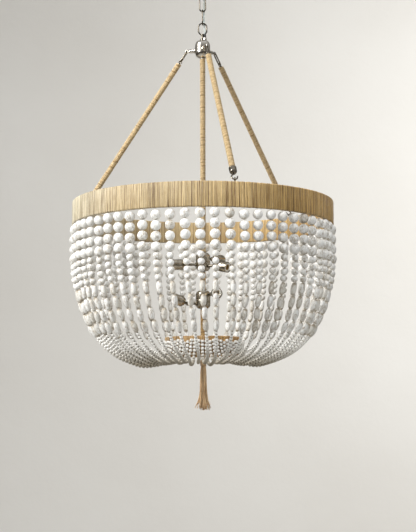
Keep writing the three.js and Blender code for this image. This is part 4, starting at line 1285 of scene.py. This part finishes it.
def build_tassel():
    low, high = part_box("tassel_head")
    middle = high[2] - TASSEL_LOOP_RADIUS - TASSEL_LOOP_WIRE
    bottom, top = low[2], middle - TASSEL_LOOP_RADIUS
    dome = bottom + TASSEL_DOME_STAND
    form = Form().loop(circle_path(TASSEL_LOOP_RADIUS), TASSEL_LOOP_WIRE, shifted(0, 0, middle), 10)
    form.lathe(TASSEL_CORE, (bottom, dome, top))
    reach = TASSEL_BAND["reach"]
    winding(form, TASSEL_BAND["radius"], bottom - reach, dome + reach, TASSEL_BAND["twine"],
            wobble=TASSEL_BAND["wobble"])
    for i in range(DOME_COVER_COUNT):
        azimuth = 360 * i / DOME_COVER_COUNT
        knots = [
            polar(azimuth + turn, radius, level + rise)
            for level, run in zip((top, dome), DOME_COVERS) for turn, radius, rise in run
        ]
        form.wire(smooth_curve(knots, 8)[0], DOME_COVER_RADIUS, 6)
    form.piece("tassel_head_wound", TASSEL_JUTE, "tassel_head", body="tassel", slot="jute")

    low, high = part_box("tassel_skirt")
    top, bottom, spread = high[2], low[2], high[0]
    form = Form()
    lock_tones = [chance.choice((0.1, 0.7, 0.95, 1.0)) for _ in range(TASSEL_LOCKS)]
    lock_turns = [chance.gauss(0, 20) for _ in range(TASSEL_LOCKS)]
    lock_ends = [abs(chance.gauss(0, LOCK_RAGGED)) for _ in range(TASSEL_LOCKS)]
    for i in range(TASSEL_STRANDS):
        ring = math.sqrt((i + 0.5) / TASSEL_STRANDS)
        azimuth = i * GOLDEN_ANGLE
        lock = int(azimuth / 360 * TASSEL_LOCKS) % TASSEL_LOCKS
        tilt = lock_turns[lock] + chance.gauss(0, 5)
        end = bottom + lock_ends[lock] + abs(chance.gauss(0, STRAND_RAGGED)) + STRAND_END_GAP
        reach = ring * spread * chance.choice((0.5, 0.75, 1.0, 1.35))
        knots = [
            polar(azimuth + tilt * turn, ring * radius, top + rise) for turn, radius, rise in STRAND_FALL
        ]
        turn, radius, rise = STRAND_FLARE
        flare = ring * radius + (reach - ring * radius) * 0.34
        knots += [polar(azimuth + tilt * turn, flare, top + rise), polar(azimuth + tilt * 0.3, reach, end)]
        corners, faces, grain = tube(smooth_curve(knots, 14)[0], STRAND_RADIUS, 5)
        tone = min(max(lock_tones[lock] + chance.gauss(0, 0.2), 0), 1)
        form.add(corners, faces, None, grain + (i, 0, 0), tone)
    form.piece("tassel_strands", TASSEL_JUTE, "tassel_skirt", body="tassel", slot="jute")


# Room, lights and camera


def build_stage():
    """A plain wall behind the object and a floor below it."""
    across, floor, far, wall_top = 3.4, -3.2, 5.6, 7
    wall = [(-across, far, floor), (across, far, floor), (across, far, wall_top), (-across, far, wall_top)]
    ground = [(-far, -far, floor), (far, -far, floor), (far, far, floor), (-far, far, floor)]
    plaster = [(0.3, (0.70, 0.68, 0.64)), (0.7, (0.76, 0.745, 0.71))]
    boards = [(0.3, (0.31, 0.295, 0.27)), (0.7, (0.37, 0.355, 0.33))]
    planes = [("backdrop", "pale_plaster", wall, plaster), ("floor", "pale_floor", ground, boards)]
    for plane, name, corners, stops in planes:
        mesh = bpy.data.meshes.new(plane)
        mesh.from_pydata(corners, [], [(0, 1, 2, 3)])
        paint = Paint(name, Roughness=0.9)
        place = paint.place()
        colour = paint.ramp(paint.noise(place, 0.55, 4.0), stops)
        mesh.materials.append(paint.finish(colour, None, paint.bump(paint.noise(place, 6.0, 6.0), 0.02, 0.2)))
        made = bpy.data.objects.new(plane, mesh)
        bpy.context.collection.objects.link(made)


# The room's light from straight down to straight up
SKY = [(0.0, (0.03, 0.027, 0.023)), (0.44, (0.11, 0.102, 0.09)), (0.56, (0.30, 0.29, 0.27)), (1.0, 0.88)]
SKY_STRENGTH = 0.7
FIXTURE_MIDDLE = (0, 0, -0.7)
# Lights: name, place, aim, width and height, watts, colour, and whether the metal mirrors them
SOFTBOXES = [
    ("window", (-3.1, -2.0, 1.2), (0.6, -0.6, -0.7), (1.8, 2.8), 252, (1.0, 1.0, 0.985), True),
    ("fill", (3.0, -3.2, -1.0), FIXTURE_MIDDLE, (1.8, 2.4), 36, (0.97, 0.99, 1.0), False),
    ("overhead", (0.2, -0.6, 2.6), FIXTURE_MIDDLE, (4.0, 4.0), 84, (1.0, 1.0, 1.0), False),
    ("room", (0.6, -5.2, 0.9), FIXTURE_MIDDLE, (4.0, 3.0), 36, (0.99, 0.995, 1.0), False),
    ("wall_wash", (3.1, 3.0, 0.8), (1.9, 5.6, 0.2), (3.0, 4.0), 104, (1.0, 1.0, 1.0), True),
]


def build_lights():
    world = bpy.data.worlds.new("studio")
    bpy.context.scene.world = world
    world.use_nodes = True
    sky = Nodes(world.node_tree)
    up = sky.part(sky.out("Generated", "TexCoord"), "Z")
    background = world.node_tree.nodes["Background"]
    world.node_tree.links.new(sky.ramp(sky.share(up, -1, 1), SKY), background.inputs["Color"])
    background.inputs["Strength"].default_value = SKY_STRENGTH
    for name, place, aim, size, power, colour, mirrored in SOFTBOXES:
        light = bpy.data.lights.new(name, "AREA")
        light.shape = "RECTANGLE"
        light.size, light.size_y = size
        light.energy = power
        light.color = colour
        made = bpy.data.objects.new(name, light)
        made.location = place
        made.rotation_euler = (Vector(aim) - Vector(place)).to_track_quat("-Z", "Y").to_euler()
        made.visible_glossy = mirrored
        bpy.context.collection.objects.link(made)


def build_camera():
    """The photograph's view; the angles are radians and the focal length is in its pixels."""
    pitch, yaw, roll = 0.11061, -0.0042, -0.00278
    away, level = 2.72861, -0.42246
    focal_pixels, long_side, sensor = 1173.08, 532, 36
    camera = bpy.data.cameras.new("camera")
    camera.sensor_width = sensor
    camera.lens = focal_pixels * sensor / long_side
    made = bpy.data.objects.new("camera", camera)
    tip = Matrix.Rotation(math.pi / 2 + pitch, 4, "X")
    turn = Matrix.Rotation(yaw, 4, "Z") @ tip @ Matrix.Rotation(roll, 4, "Z")
    made.matrix_world = Matrix.Translation((0, -away, height_of(level))) @ turn
    bpy.context.collection.objects.link(made)
    bpy.context.scene.camera = made
    bpy.context.scene.view_settings.view_transform = "Standard"


build_camera()
build_stage()
build_lights()
finish_kept_nodes()
build_canopy()
build_canopy_loop()
build_chain()
build_cord()
build_hub()
build_top_loop()
build_bushing()
for rod in range(ROD_COUNT):
    build_rod(rod)
    build_hoop_eye(rod)
build_hoop_and_ring()
build_strings()
build_stem()
build_cluster("upper", UPPER_CLUSTER_LEVEL)
build_cluster("lower", LOWER_CLUSTER_LEVEL)
for holder in range(len(LAMP_HOLDERS)):
    build_lamp_holder(holder)
build_finial()
build_tassel()
